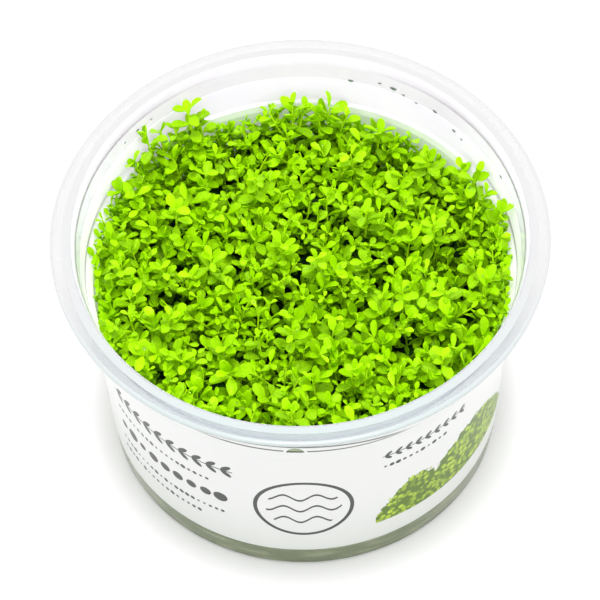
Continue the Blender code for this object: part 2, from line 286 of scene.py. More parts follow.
def noise(tree, scale, detail=2.0, squeeze=None):
    """A noise on the piece's own coordinates, which can be squeezed along each axis."""
    where = own_place(tree)
    if squeeze:
        mapping = add_node(tree, "Mapping", [where])
        mapping.inputs["Scale"].default_value = squeeze
        where = mapping.outputs["Vector"]
    texture = add_node(tree, "TexNoise", [where])
    texture.inputs["Scale"].default_value = scale
    texture.inputs["Detail"].default_value = detail
    return texture.outputs["Fac"]


def clouds(tree, scale, low, high, detail=2.0):
    """A noise whose middle is spread over a range of values."""
    return spread_range(tree, noise(tree, scale, detail), *NOISE_MIDDLE, low, high)


def paint(tree, shader, colour):
    tree.links.new(colour, shader.inputs["Base Color"])


def bumps(tree, shader, scale, depth, strength=1.0, detail=2.0):
    """Bump a surface by a noise of a scale. A list such as RIPPLES holds these four numbers."""
    node = add_node(tree, "Bump")
    node.inputs["Strength"].default_value = strength
    node.inputs["Distance"].default_value = depth
    tree.links.new(noise(tree, scale, detail), node.inputs["Height"])
    tree.links.new(node.outputs["Normal"], shader.inputs["Normal"])


def tone_of_copy(tree):
    return add_node(tree, "Attribute", attribute_name="tone").outputs["Fac"]


# %% [markdown]
# Patterns with an edge are masks: a number that is 1 inside a shape and 0 outside it. Two masks are
# multiplied for the place that both cover, and the larger of them is taken for the place of either.

# %% Mask helpers


def near(tree, value, centre, half_width):
    """1 where a value lies within half a width of a centre, and 0 elsewhere."""
    return math_node(tree, "COMPARE", value, centre, half_width)


def both(tree, first, second):
    return math_node(tree, "MULTIPLY", first, second)


def either(tree, masks):
    joined = masks[0]
    for mask in masks[1:]:
        joined = math_node(tree, "MAXIMUM", joined, mask)
    return joined


def distance(tree, right, above):
    square = math_node(tree, "MULTIPLY", above, above)
    return math_node(tree, "SQRT", math_node(tree, "MULTIPLY_ADD", right, right, square))


print("material helpers ready")

# %% [markdown]
# ## The floor
# The floor only has to be pale and plain. It takes part in the light, because white card under a clear
# cup is what lights the cup from below. A faint noise keeps it from being a perfect flat colour.

# %% Floor
FLOOR_SIZE = 4.0
FLOOR_GREYS = ((0.91, 0.91, 0.91, 1.0), (0.93, 0.93, 0.93, 1.0))
FLOOR_CLOUD = 3.0


def make_floor():
    material, tree, shader = make_material("pale_card", Roughness=0.8)
    shade = mix_colours(tree, noise(tree, FLOOR_CLOUD), *FLOOR_GREYS)
    paint(tree, shader, shade)
    bm = bmesh.new()
    bmesh.ops.create_grid(bm, x_segments=2, y_segments=2, size=0.5 * FLOOR_SIZE)
    floor = add_object("floor", smooth_mesh("floor", bm, [material]))


make_floor()
print("floor laid")

# %% [markdown]
# ## The cup
# The cup is one thin moulding in milky, see-through plastic: a flat base with a round corner, a wall
# that widens upwards, a step that the next cup nests on, a flared mouth and a wide flange. A moulded
# round thing is a profile turned about its axis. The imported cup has 36 flat sides, which would show as
# corners through clear plastic, so the same profile is turned again in fine steps with its corners
# rounded. The profile runs out along the underside, up the outside, over the flange and down inside.

# %% Cup shape
CUP_HEIGHT = 60.7 * MM
FLANGE_RADIUS = 50.5 * MM
FLANGE_THICKNESS = 1.1 * MM
MOUTH_RADIUS = 46.0 * MM
LIP_DROP = 2.2 * MM
LIP_INSET = 0.75 * MM
WALL = 0.75 * MM
STEP_TOP = 49.0 * MM
STEP_BOTTOM = 47.0 * MM
STEP_TOP_RADIUS = 44.45 * MM
STEP_BOTTOM_RADIUS = 43.27 * MM
BASE_RADIUS = 40.5 * MM
BASE_THICKNESS = 1.0 * MM
BASE_CORNER = 1.3 * MM
STEP_FILLET = 0.4 * MM
STEP_INNER_RAISE = 0.2 * MM
MOUTH_FILLET = 0.8 * MM
LIP_FILLET = 0.6 * MM
FLANGE_FOOT_FILLET = 0.3 * MM
FLANGE_EDGE_FILLET = 0.45 * MM
CUP_STEPS = 160
MILKY_FROM = 22.0 * MM
STEP_FROM = 48.2 * MM
BARE_FROM = 54.7 * MM
BARE_SLANT = 0.4 * MM
TOP_FROM = 59.3 * MM
LIP_RIM = 0.6 * MM
INNER_RIM = 2.0 * MM
OUTER_RIM = 0.8 * MM
RIM_DEPTH = 0.6 * FLANGE_THICKNESS
BARE_ZONE = 3
FLANGE_ZONE = 4
RIM_ZONE = 5


def between(z, low, low_radius, high, high_radius):
    return low_radius + (high_radius - low_radius) * (z - low) / (high - low)


def wall_outer(z):
    """Outer radius of the cup's wall at a height."""
    if z <= STEP_BOTTOM:
        return between(z, 0.0, BASE_RADIUS, STEP_BOTTOM, STEP_BOTTOM_RADIUS)
    if z <= STEP_TOP:
        return between(z, STEP_BOTTOM, STEP_BOTTOM_RADIUS, STEP_TOP, STEP_TOP_RADIUS)
    lip_radius = MOUTH_RADIUS - LIP_INSET + WALL
    return between(z, STEP_TOP, STEP_TOP_RADIUS, CUP_HEIGHT - LIP_DROP, lip_radius)


def wall_inner(z):
    return wall_outer(z) - WALL


def cup_corners():
    lip = CUP_HEIGHT - LIP_DROP
    under = CUP_HEIGHT - FLANGE_THICKNESS
    outside = [
        (0.0, 0.0, 0.0),
        (BASE_RADIUS, 0.0, BASE_CORNER),
        (wall_outer(MILKY_FROM), MILKY_FROM, 0.0),
        (STEP_BOTTOM_RADIUS, STEP_BOTTOM, STEP_FILLET),
        (wall_outer(STEP_FROM), STEP_FROM, 0.0),
        (STEP_TOP_RADIUS, STEP_TOP, STEP_FILLET),
        (wall_outer(BARE_FROM - BARE_SLANT), BARE_FROM - BARE_SLANT, 0.0),
        (wall_outer(lip), lip, MOUTH_FILLET),
        (wall_outer(lip) + LIP_INSET, under, FLANGE_FOOT_FILLET),
        (FLANGE_RADIUS - OUTER_RIM, under, 0.0),
        (FLANGE_RADIUS, under, FLANGE_EDGE_FILLET),
        (FLANGE_RADIUS, CUP_HEIGHT, FLANGE_EDGE_FILLET),
    ]
    inside = [
        (FLANGE_RADIUS - OUTER_RIM, CUP_HEIGHT, 0.0),
        (MOUTH_RADIUS + INNER_RIM, CUP_HEIGHT, 0.0),
        (MOUTH_RADIUS, CUP_HEIGHT, LIP_FILLET),
        (wall_inner(lip), lip, MOUTH_FILLET),
        (wall_inner(BARE_FROM + BARE_SLANT), BARE_FROM + BARE_SLANT, 0.0),
        (wall_inner(STEP_TOP), STEP_TOP, STEP_FILLET),
        (wall_inner(STEP_FROM), STEP_FROM, 0.0),
        (wall_inner(STEP_BOTTOM), STEP_BOTTOM + STEP_INNER_RAISE, STEP_FILLET),
        (wall_inner(MILKY_FROM), MILKY_FROM, 0.0),
        (wall_inner(BASE_THICKNESS), BASE_THICKNESS, 0.5 * BASE_CORNER),
        (0.0, BASE_THICKNESS, 0.0),
    ]
    return outside + inside


def plastic_zone(middle):
    """Which of the cup's plastics a face is made of, from the gel up to the flange and its rims."""
    if middle.z < TOP_FROM:
        return sum(middle.z > height for height in (MILKY_FROM, STEP_FROM, BARE_FROM))
    radius = math.hypot(middle.x, middle.y)
    if radius < MOUTH_RADIUS + LIP_RIM:
        return BARE_ZONE
    on_rim = radius < MOUTH_RADIUS + INNER_RIM or radius > FLANGE_RADIUS - OUTER_RIM
    return RIM_ZONE if on_rim and middle.z > CUP_HEIGHT - RIM_DEPTH else FLANGE_ZONE


def make_cup(materials):
    bm = bmesh.new()
    spin_profile(bm, rounded(cup_corners()), CUP_STEPS)
    for face in bm.faces:
        face.material_index = plastic_zone(face.calc_center_median())
    cup = finish_mesh("cup_shell", bm, materials, "cup_plastic")
    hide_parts("cup")
    return cup


# %% [markdown]
# One plastic looks different from place to place on a thin moulding. Low down, where wet gel backs it,
# it is fairly clear and dark olive, which is partly the gel behind it and partly painted shade at the
# foot of the cup. Above that it is milky, clear again where it is bare over the label, and nearly opaque
# grey along the two rims of the flange, which is painted light for the light that the edges gather.
# Each zone is a plain material of its own. Clear plastic is transmission with a little roughness, and
# milky plastic keeps part of its light as a pale body colour. Each zone turns from a colour at the back
# to one at the front, and that turn is painted light and shade: the wall at the back, which stands in
# shade, is painted darker. The front of the flange stands before the dark inside of the cup, so it is a
# shade darker. The label has a half-moon cut out at the front, and the shaded green inside that shows
# through it is painted on the wall as an olive tint. Fine roots and old stems lie in the gel, so the
# plastic over it has pale level streaks.

# %% Cup plastic
GEL_AND_SHADE = "gel_and_shade_plastic"
PLASTICS = (
    # name, colours at the back and the front, from where to where in Y the one turns into the other in
    # millimetres, clearness, roughness and refraction
    # the back and front colours of each zone are painted light and shade
    (GEL_AND_SHADE, (0.28, 0.325, 0.20), (0.28, 0.335, 0.185), (10, -10), 0.64, 0.1, 1.33),
    ("shaded_plastic", (0.50, 0.57, 0.45), (0.88, 0.92, 0.80), (34, 6), 0.2, 0.3, 1.49),
    ("milky_plastic", (0.75, 0.685, 0.81), (0.88, 0.84, 0.92), (34, 10), 0.2, 0.2, 1.49),
    ("bare_plastic", (0.70, 0.67, 0.72), (0.90, 0.88, 0.96), (34, 10), 0.65, 0.2, 1.49),
    ("flange_plastic", (0.60, 0.595, 0.60), (0.68, 0.735, 0.77), (-14, -44), 0.86, 0.14, 1.49),
    ("rim_plastic", (0.445, 0.445, 0.45), (0.42, 0.465, 0.465), (-10, -44), 0.05, 0.14, 1.49),
)
CLOUD_SCALE = 90.0
CLOUD_ROUGHNESS = (-0.04, 0.05)
RIPPLES = (160.0, 0.02 * MM, 0.3, 1.0)
STREAK_OLIVE = (0.62, 0.66, 0.44, 1.0)
STREAK_SQUEEZE = (130.0, 130.0, 900.0)
STREAK_RANGE = (0.48, 0.72)
STREAK_SHARE = 0.9
# grey lines of painted shade on the wall, where it is seen edge on
EDGE_SHADE_GREY = (0.42, 0.38, 0.43, 1.0)
EDGE_SHADE_LINES = (
    # height, half the width, and from where to where in X the line grows clear, in millimetres
    (50.2, 0.5, 34.0, 44.0),
    (58.8, 0.3, 14.0, 36.0),
)
MOON_X = -2.25 * MM
MOON_BOTTOM = 48.7 * MM
MOON_HALF_WIDTH = 1.8 * MM
MOON_RISE = 2.2 * MM
MOON_TINT_REACH = 1.1 * MOON_HALF_WIDTH
MOON_DEPTH = -44.15 * MM
# the shaded green inside, painted on the wall behind the half-moon
MOON_SHADE_OLIVE = (0.19, 0.245, 0.13, 1.0)


def moon_shade_tint(tree, x, y, z):
    """The outside of the wall behind the half-moon in the label, where the shaded green inside is painted
    as an olive tint.
    """
    aside = math_node(tree, "SUBTRACT", x, MOON_X)
    over = math_node(tree, "SUBTRACT", z, MOON_BOTTOM)
    rise = math_node(tree, "MULTIPLY", over, MOON_HALF_WIDTH / MOON_RISE)
    inside = math_node(tree, "LESS_THAN", distance(tree, aside, rise), MOON_TINT_REACH)
    return both(tree, inside, math_node(tree, "LESS_THAN", y, MOON_DEPTH))


def edge_shade_lines(tree, x, z):
    """Painted shade lines over the step and under the mouth, where the wall is seen edge on, at both
    sides.
    """
    aside = math_node(tree, "ABSOLUTE", x)
    lines = []
    for height, half_width, start, end in EDGE_SHADE_LINES:
        line = near(tree, z, height * MM, half_width * MM)
        lines.append(both(tree, line, spread_range(tree, aside, start * MM, end * MM)))
    return either(tree, lines)


def make_plastic(name, back_colour, front_colour, turn, clearness, roughness, ior):
    material, tree, shader = make_material(name, IOR=ior, Transmission_Weight=clearness)
    x, y, z = axes(tree, own_place(tree))
    # The back colour turns into the front colour: painted light and shade.
    forwards = spread_range(tree, y, turn[0] * MM, turn[1] * MM)
    colour = mix_colours(tree, forwards, (*back_colour, 1.0), (*front_colour, 1.0))
    if name == GEL_AND_SHADE:
        streaks = noise(tree, 1.0, FINE_DETAIL, STREAK_SQUEEZE)
        share = spread_range(tree, streaks, *STREAK_RANGE, 0.0, STREAK_SHARE)
        colour = mix_colours(tree, share, colour, STREAK_OLIVE)
    # painted shade lines where the wall is seen edge on
    colour = mix_colours(tree, edge_shade_lines(tree, x, z), colour, EDGE_SHADE_GREY)
    # the olive behind the half-moon is the painted shaded green of the inside
    colour = mix_colours(tree, moon_shade_tint(tree, x, y, z), colour, MOON_SHADE_OLIVE)
    paint(tree, shader, colour)
    least, most = (roughness + change for change in CLOUD_ROUGHNESS)
    cloudy = clouds(tree, CLOUD_SCALE, least, most, FINE_DETAIL)
    tree.links.new(cloudy, shader.inputs["Roughness"])
    bumps(tree, shader, *RIPPLES)
    return material


cup_plastics = [make_plastic(*plastic) for plastic in PLASTICS]
cup_shell = make_cup(cup_plastics)

# %% [markdown]
# Real milky plastic also passes on light that falls on it from outside, which is why the inside of the
# wall is nearly as white as the tent. The film of the label is drawn opaque, so a small soft lamp over
# the plants makes up for that light. Light linking lets a lamp light chosen objects alone.

# %% Lamp for the wall
WALL_LAMP_PLACE = (0.0, 0.0, 50.0 * MM)
WALL_LAMP_RADIUS = 8.0 * MM
WALL_LAMP_POWER = 0.056


def make_wall_lamp(lit):
    lamp = add_lamp("wall_lamp", "POINT", WALL_LAMP_POWER, WALL_LAMP_PLACE)
    lamp.data.shadow_soft_size = WALL_LAMP_RADIUS
    lamp.visible_camera = False
    lamp.visible_glossy = False
    lamp.visible_transmission = False
    group = bpy.data.collections.new("lit_by_wall_lamp")
    for piece in lit:
        group.objects.link(piece)
    lamp.light_linking.receiver_collection = group
    lamp.light_linking.blocker_collection = group


make_wall_lamp([cup_shell])
print(f"wall lamp of {WALL_LAMP_POWER} W, for the cup alone")

# %% [markdown]
# ## The label
# The label is a strip of white film round the wall. It meets itself at a seam at the back, bridges the
# step of the cup with two soft creases, and has a half-moon cut out at the front. It is a thin profile
# turned almost all the way round, so that the seam stays open, and the half-moon is cut with a Boolean.
# A UV map in metres, round the wall and up it, carries the print.

# %% Label shape
LABEL_BOTTOM = 6.7 * MM
LABEL_TOP = 54.1 * MM
LABEL_THICKNESS = 0.12 * MM
LABEL_AIR = 0.06 * MM
LABEL_SEAM = 0.5 * MM
LABEL_STEPS = 180
LABEL_ARC_STEPS = 2
BRIDGE_FROM = 44.5 * MM
BRIDGE_FILLET = 0.6 * MM
CREASE_HEIGHT = 49.0 * MM
CREASE_FILLET = 0.1 * MM
MOON_POINTS = 13
MOON_CUT_FROM = -1.1 * STEP_TOP_RADIUS
MOON_CUT_DEPTH = 0.2 * STEP_TOP_RADIUS


def label_inner(z):
    return wall_outer(z) + LABEL_AIR


def label_corners():
    """The film's profile: it follows the wall and bridges the hollow under the step."""
    inner = [
        (label_inner(LABEL_BOTTOM), LABEL_BOTTOM, 0.0),
        (label_inner(BRIDGE_FROM), BRIDGE_FROM, BRIDGE_FILLET),
        (label_inner(CREASE_HEIGHT), CREASE_HEIGHT, CREASE_FILLET),
        (label_inner(LABEL_TOP), LABEL_TOP, 0.0),
    ]
    outer = [(radius + LABEL_THICKNESS, z, fillet) for radius, z, fillet in reversed(inner)]
    return inner, outer


def make_moon_cutter():
    """An arched block that crosses the label's front, flat side down."""
    bm = bmesh.new()
    bmesh.ops.create_circle(bm, cap_ends=True, segments=2 * (MOON_POINTS - 1), radius=1.0)
    bmesh.ops.bisect_plane(
        bm, geom=bm.verts[:] + bm.edges[:] + bm.faces[:], plane_co=(0, 0, 0), plane_no=(0, 1, 0),
        clear_inner=True,
    )
    bmesh.ops.scale(bm, verts=bm.verts[:], vec=(MOON_HALF_WIDTH, MOON_RISE, 1.0))
    upright = Matrix.Rotation(0.5 * math.pi, 4, "X")
    front = Vector((MOON_X, MOON_CUT_FROM, MOON_BOTTOM))
    bmesh.ops.transform(bm, matrix=Matrix.Translation(front) @ upright, verts=bm.verts[:])
    walls = bmesh.ops.extrude_face_region(bm, geom=bm.faces[:])["geom"]
    moved = [part for part in walls if isinstance(part, bmesh.types.BMVert)]
    bmesh.ops.translate(bm, verts=moved, vec=(0.0, MOON_CUT_DEPTH, 0.0))
    bmesh.ops.recalc_face_normals(bm, faces=bm.faces[:])
    mesh = bpy.data.meshes.new("moon_cutter")
    bm.to_mesh(mesh)
    bm.free()
    return add_object("moon_cutter", mesh)


def map_label(mesh):
    """Write the label's UV map: metres round the wall from the front, and metres up it."""
    layer = mesh.uv_layers.new(name="wrap")
    for loop in mesh.loops:
        point = mesh.vertices[loop.vertex_index].co
        turn = math.atan2(point.x, -point.y)
        layer.data[loop.index].uv = (turn * STEP_TOP_RADIUS, point.z)


def baked(piece):
    """The piece's mesh with its modifiers applied."""
    graph = bpy.context.evaluated_depsgraph_get()
    return bpy.data.meshes.new_from_object(piece.evaluated_get(graph), depsgraph=graph)


def make_label(material):
    inner, outer = label_corners()
    seam = LABEL_SEAM / STEP_TOP_RADIUS
    bm = bmesh.new()
    spin_profile(
        bm,
        rounded(inner, LABEL_ARC_STEPS) + rounded(outer, LABEL_ARC_STEPS),
        LABEL_STEPS,
        angle=FULL_TURN - seam,
        start=0.5 * math.pi + 0.5 * seam,
    )
    label = finish_mesh("label_film", bm, [material], "label_film")
    cutter = make_moon_cutter()
    cut = label.modifiers.new("half_moon", "BOOLEAN")
    cut.operation = "DIFFERENCE"
    cut.solver = "EXACT"
    cut.object = cutter
    mesh = baked(label)
    label.modifiers.clear()
    label.data = mesh
    bpy.data.objects.remove(cutter)
    map_label(mesh)
    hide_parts("label")


# %% [markdown]
# The print stands in for the real label with plain ornaments of a like colour and scale: a ring with
# three waves, a twig with pairs of leaves, rows of bubbles, and a green bank of leaves. Each ornament is
# a mask, 1 where there is ink, made from a distance or a height with a few math nodes.

# %% Ring with waves
INK_GREY = (0.042, 0.045, 0.042, 1.0)
RING_PLACE = (-1.0 * MM, 24.0 * MM)
RING_RADIUS = 10.5 * MM
RING_LINE = 0.9 * MM
WAVE_HEIGHTS = (19.5 * MM, 24.0 * MM, 28.5 * MM)
WAVE_LINE = 0.36 * MM
WAVE_SWING = 1.1 * MM
WAVE_LENGTH = 7.0 * MM
WAVE_ROOM = 2.5 * RING_LINE


def ring_mask(tree, across, up):
    """A ring with three wavy lines inside it."""
    right = math_node(tree, "SUBTRACT", across, RING_PLACE[0])
    above = math_node(tree, "SUBTRACT", up, RING_PLACE[1])
    away = distance(tree, right, above)
    ring = near(tree, away, RING_RADIUS, 0.5 * RING_LINE)
    inside = math_node(tree, "LESS_THAN", away, RING_RADIUS - WAVE_ROOM)
    angle = math_node(tree, "MULTIPLY", across, FULL_TURN / WAVE_LENGTH)
    swing = math_node(tree, "MULTIPLY", math_node(tree, "SINE", angle), WAVE_SWING)
    level = math_node(tree, "SUBTRACT", up, swing)
    lines = [near(tree, level, height, WAVE_LINE) for height in WAVE_HEIGHTS]
    return either(tree, [ring, both(tree, inside, either(tree, lines))])


print(f"a ring {2000 * RING_RADIUS:.0f} mm wide with {len(WAVE_HEIGHTS)} waves")

# %% [markdown]
# An ornament that repeats along a row is drawn once, in a cell as wide as the repeat. In the twig each
# cell holds one leaf, an oval that leans forwards, and taking the height without its sign mirrors it to
# the other side of the stem. In a row of bubbles, white noise gives each cell a disc of its own size.

# %% Twig and rows of bubbles
TWIGS = (
    # height, start, number of cells, cell width, leaf length and stem width in millimetres
    (35.0, -50.0, 10, 3.4, 3.0, 0.35),
    (39.5, 16.0, 9, 2.4, 2.0, 0.28),
)
TWIG_LEAN = math.radians(42.0)
TWIG_LEAF_SLIMNESS = 2.3
TWIG_LEAF_SHIFT = 0.3
BUBBLE_ROWS = (
    # height, start, number of cells, cell width and largest radius in millimetres
    (29.0, -50.0, 19, 1.5, 0.7),
    (23.4, -50.0, 9, 3.6, 1.7),
    (17.6, -50.0, 21, 1.5, 0.7),
    (14.0, -50.0, 17, 1.5, 0.7),
    (35.4, 16.0, 11, 1.5, 0.65),
)
SMALLEST_BUBBLE = 0.45


def cells_along(tree, across, start, count, width):
    """The number of the cell, the place within it, and a mask of the row's length."""
    cells = math_node(tree, "DIVIDE", math_node(tree, "SUBTRACT", across, start), width)
    part = math_node(tree, "SUBTRACT", math_node(tree, "FRACT", cells), 0.5)
    inside = near(tree, across, start + 0.5 * count * width, 0.5 * count * width)
    number = math_node(tree, "FLOOR", cells)
    return number, math_node(tree, "MULTIPLY", part, width), inside


def twig_mask(tree, across, up, twig):
    count = twig[2]
    height, start, _, width, leaf, stem = (MM * number for number in twig)
    _, right, inside = cells_along(tree, across, start, count, width)
    above = math_node(tree, "SUBTRACT", up, height)
    off_stem = math_node(tree, "ABSOLUTE", above)
    ahead = math_node(tree, "ADD", right, TWIG_LEAF_SHIFT * leaf)
    cosine, sine = math.cos(TWIG_LEAN), math.sin(TWIG_LEAN)
    ahead_part = math_node(tree, "MULTIPLY", ahead, cosine)
    aside_part = math_node(tree, "MULTIPLY", ahead, -sine)
    forwards = math_node(tree, "MULTIPLY_ADD", off_stem, sine, ahead_part)
    sideways = math_node(tree, "MULTIPLY_ADD", off_stem, cosine, aside_part)
    along = math_node(tree, "SUBTRACT", forwards, 0.5 * leaf)
    across_leaf = math_node(tree, "MULTIPLY", sideways, TWIG_LEAF_SLIMNESS)
    blade = math_node(tree, "LESS_THAN", distance(tree, along, across_leaf), 0.5 * leaf)
    line = near(tree, above, 0.0, 0.5 * stem)
    return both(tree, inside, either(tree, [blade, line]))


def bubble_mask(tree, across, up, row):
    count = row[2]
    height, start, _, width, radius = (MM * number for number in row)
    number, right, inside = cells_along(tree, across, start, count, width)
    dice = add_node(tree, "TexWhiteNoise", noise_dimensions="1D")
    feed(tree, dice.inputs["W"], math_node(tree, "ADD", number, row[0]))
    smallest = SMALLEST_BUBBLE * radius
    size = spread_range(tree, dice.outputs["Value"], 0.0, 1.0, smallest, radius)
    away = distance(tree, right, math_node(tree, "SUBTRACT", up, height))
    return both(tree, inside, math_node(tree, "LESS_THAN", away, size))


print(f"{len(TWIGS)} twigs, {sum(row[2] for row in BUBBLE_ROWS)} bubbles")

# %% [markdown]
# The green bank is a heap of round leaves. Two rolling hills over a level foot give its outline, and the
# cells of a Voronoi texture give its leaves, each in its own shade of green. Two thin grey lines are
# painted shade in the folds of the film where it runs over the cup's step, and towards the bottom the
# film's colour turns a little darker and greener.

# %% Green bank, folds and the film itself
BANK_FOOT = 13.0 * MM
BANK_HILLS = (
    # start, length and rise of a hill
    (15.0 * MM, 20.0 * MM, 11.0 * MM),
    (24.0 * MM, 36.0 * MM, 15.0 * MM),
)
BANK_RAGGED = 5.0 * MM
BANK_NOISE = 900.0
LEAF_GREENS = ((0.13, 0.22, 0.008, 1.0), (0.38, 0.51, 0.03, 1.0))
LEAF_GAP_GREEN = (0.07, 0.13, 0.005, 1.0)
LEAF_CELLS = 760.0
LEAF_CELL_EDGE = (0.42, 0.58)
# painted shade in the folds of the film over the step
FOLD_SHADE_GREY = (0.10, 0.11, 0.09, 1.0)
FOLD_REACH = (16.0 * MM, 25.0 * MM)
FOLD_TOP = 51.4 * MM
FOLD_TOP_PLACE = -6.0 * MM
FOLD_BEND = 3.5
FOLD_FOOT = 49.25 * MM
FOLD_SLOPE = 0.03
FOLD_HALF_WIDTH = 0.31 * MM
FOLD_MOON_ROOM = 1.35 * MOON_HALF_WIDTH
FILM_WHITE = (0.575, 0.58, 0.575, 1.0)
FILM_SHADED = (0.55, 0.555, 0.545, 1.0)
# the film turns a little darker and greener towards the bottom
FILM_LOW = (0.53, 0.545, 0.52, 1.0)
FILM_LOW_FROM = 22.0 * MM
FILM_CLOUD = 40.0
FILM_GRAIN = (400.0, 0.01 * MM, 0.4)


def hill_mask(tree, across, up, start, length, rise):
    """A hill over the bank's foot, with a ragged top."""
    centre = start + 0.5 * length
    reach = near(tree, across, centre, 0.5 * length)
    over_foot = math_node(tree, "GREATER_THAN", up, BANK_FOOT)
    angle = math_node(tree, "MULTIPLY_ADD", across, math.pi / length, -math.pi * start / length)
    swell = math_node(tree, "MULTIPLY", math_node(tree, "SINE", angle), rise)
    ragged = math_node(tree, "MULTIPLY_ADD", noise(tree, BANK_NOISE), BANK_RAGGED, swell)
    below = math_node(tree, "LESS_THAN", math_node(tree, "SUBTRACT", up, BANK_FOOT), ragged)
    return both(tree, both(tree, reach, over_foot), below)


def leaf_cells(tree, wrap):
    """Round leaves in their own shades of green, with dark gaps between them."""
    cells = add_node(tree, "TexVoronoi", [wrap])
    cells.inputs["Scale"].default_value = LEAF_CELLS
    shade = add_node(tree, "SeparateColor", [cells.outputs["Color"]]).outputs["Red"]
    leaf = mix_colours(tree, shade, *LEAF_GREENS)
    gap = spread_range(tree, cells.outputs["Distance"], *LEAF_CELL_EDGE)
    return mix_colours(tree, gap, leaf, LEAF_GAP_GREEN)


def fold_shade_mask(tree, across, up):
    """Two thin lines of painted shade in the film's folds along the step, which fade out to the sides and
    stop round the half-moon.
    """
    from_middle = math_node(tree, "SUBTRACT", across, FOLD_TOP_PLACE)
    square = math_node(tree, "MULTIPLY", from_middle, from_middle)
    bent = math_node(tree, "MULTIPLY_ADD", square, FOLD_BEND, up)
    upper = near(tree, bent, FOLD_TOP, FOLD_HALF_WIDTH)
    sloping = math_node(tree, "MULTIPLY_ADD", across, FOLD_SLOPE, up)
    lower = near(tree, sloping, FOLD_FOOT, FOLD_HALF_WIDTH)
    fade = spread_range(tree, math_node(tree, "ABSOLUTE", across), *reversed(FOLD_REACH))
    from_moon = math_node(tree, "SUBTRACT", across, MOON_X)
    over_moon = math_node(tree, "SUBTRACT", up, MOON_BOTTOM)
    clear = math_node(tree, "GREATER_THAN", distance(tree, from_moon, over_moon), FOLD_MOON_ROOM)
    return both(tree, both(tree, fade, clear), either(tree, [upper, lower]))


def make_film():
    material, tree, shader = make_material(
        "printed_film", Roughness=0.32, Specular_IOR_Level=0.2
    )
    wrap = uv_place(tree, "wrap")
    across, up, _ = axes(tree, wrap)
    film = mix_colours(tree, noise(tree, FILM_CLOUD), FILM_WHITE, FILM_SHADED)
    film = mix_colours(tree, spread_range(tree, up, FILM_LOW_FROM, LABEL_BOTTOM), film, FILM_LOW)
    # painted shade in the folds
    film = mix_colours(tree, fold_shade_mask(tree, across, up), film, FOLD_SHADE_GREY)
    hills = either(tree, [hill_mask(tree, across, up, *hill) for hill in BANK_HILLS])
    film = mix_colours(tree, hills, film, leaf_cells(tree, wrap))
    ornaments = [ring_mask(tree, across, up)]
    ornaments += [twig_mask(tree, across, up, twig) for twig in TWIGS]
    ornaments += [bubble_mask(tree, across, up, row) for row in BUBBLE_ROWS]
    film = mix_colours(tree, either(tree, ornaments), film, INK_GREY)
    paint(tree, shader, film)
    bumps(tree, shader, *FILM_GRAIN)
    return material


make_label(make_film())

# %% [markdown]
# ## The gel
# The roots stand in a clear gel with nutrients, cloudy olive where old roots and stems lie in it. Only
# its rim shows, through the clear band of plastic under the label. Its top meets the wall in a small
# upward curve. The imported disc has 24 sides, so it is turned again in fine steps. A noise that is
# squeezed in height gives it level streaks, paler where light gets into the gel.

# %% Gel
GEL_DARK = (0.06, 0.08, 0.03, 1.0)
GEL_PALE = (0.30, 0.33, 0.19, 1.0)
GEL_STREAKS = (38.0, 38.0, 420.0)
GEL_TOP = 11.0 * MM
GEL_GAP = 0.12 * MM
GEL_CREEP = 0.9 * MM
GEL_DISH = 0.6 * GEL_CREEP
GEL_BRIM_FILLET = 0.08 * MM
GEL_CREEP_FILLET = 0.7 * MM
GEL_STEPS = 128
GEL_PALENESS = (0.42, 0.68)
GEL_LUMPS = (300.0, 0.05 * MM, 0.5)


def gel_corners():
    floor = BASE_THICKNESS + GEL_GAP
    brim = wall_inner(GEL_TOP) - GEL_GAP
    return [
        (0.0, floor, 0.0),
        (wall_inner(floor) - GEL_GAP, floor, 0.5 * BASE_CORNER),
        (brim, GEL_TOP, GEL_BRIM_FILLET),
        (brim - GEL_CREEP, GEL_TOP - 0.5 * GEL_CREEP, GEL_CREEP_FILLET),
        (0.0, GEL_TOP - GEL_DISH, 0.0),
    ]


def make_gel():
    material, tree, shader = make_material(
        "nutrient_gel", Roughness=0.4, IOR=1.34, Specular_IOR_Level=0.1
    )
    streaks = noise(tree, 1.0, FINE_DETAIL, GEL_STREAKS)
    paleness = spread_range(tree, streaks, *GEL_PALENESS)
    olive = mix_colours(tree, paleness, GEL_DARK, GEL_PALE)
    paint(tree, shader, olive)
    bumps(tree, shader, *GEL_LUMPS)
    bm = bmesh.new()
    spin_profile(bm, rounded(gel_corners()), GEL_STEPS)
    gel = finish_mesh("gel_disc", bm, [material], "gel")
    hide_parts("gel")


make_gel()

# %% [markdown]
# ## One leaf, a few times over
# A leaf of this plant is a small oval spoon, 2 to 4 mm long: widest past its middle, a little cupped
# along its midrib, with a blunt tip. It repeats thousands of times, so it has to be light. A circle
# gives the outline, an edge from foot to tip is cut into the midrib, and Solidify's operator gives it
# a real thickness, for 44 triangles in all. Four such templates differ in width, cup and droop.

# %% Leaf templates
LEAF_EDGE_POINTS = 10
LEAF_THICKNESS = 0.075
LEAF_SHOULDER = 0.6
LEAF_CUP_POWER = 1.5
MIDRIB_CUTS = 2
TEMPLATE_SMOOTH_ANGLE = 60.0
LEAF_KINDS = (
    # width, narrowness of the foot, cup and droop, as shares of the leaf's length
    (0.60, 0.30, 0.45, -0.10),
    (0.52, 0.45, 0.65, 0.08),
    (0.68, 0.25, 0.30, -0.20),
    (0.46, 0.50, 0.85, 0.16),
)


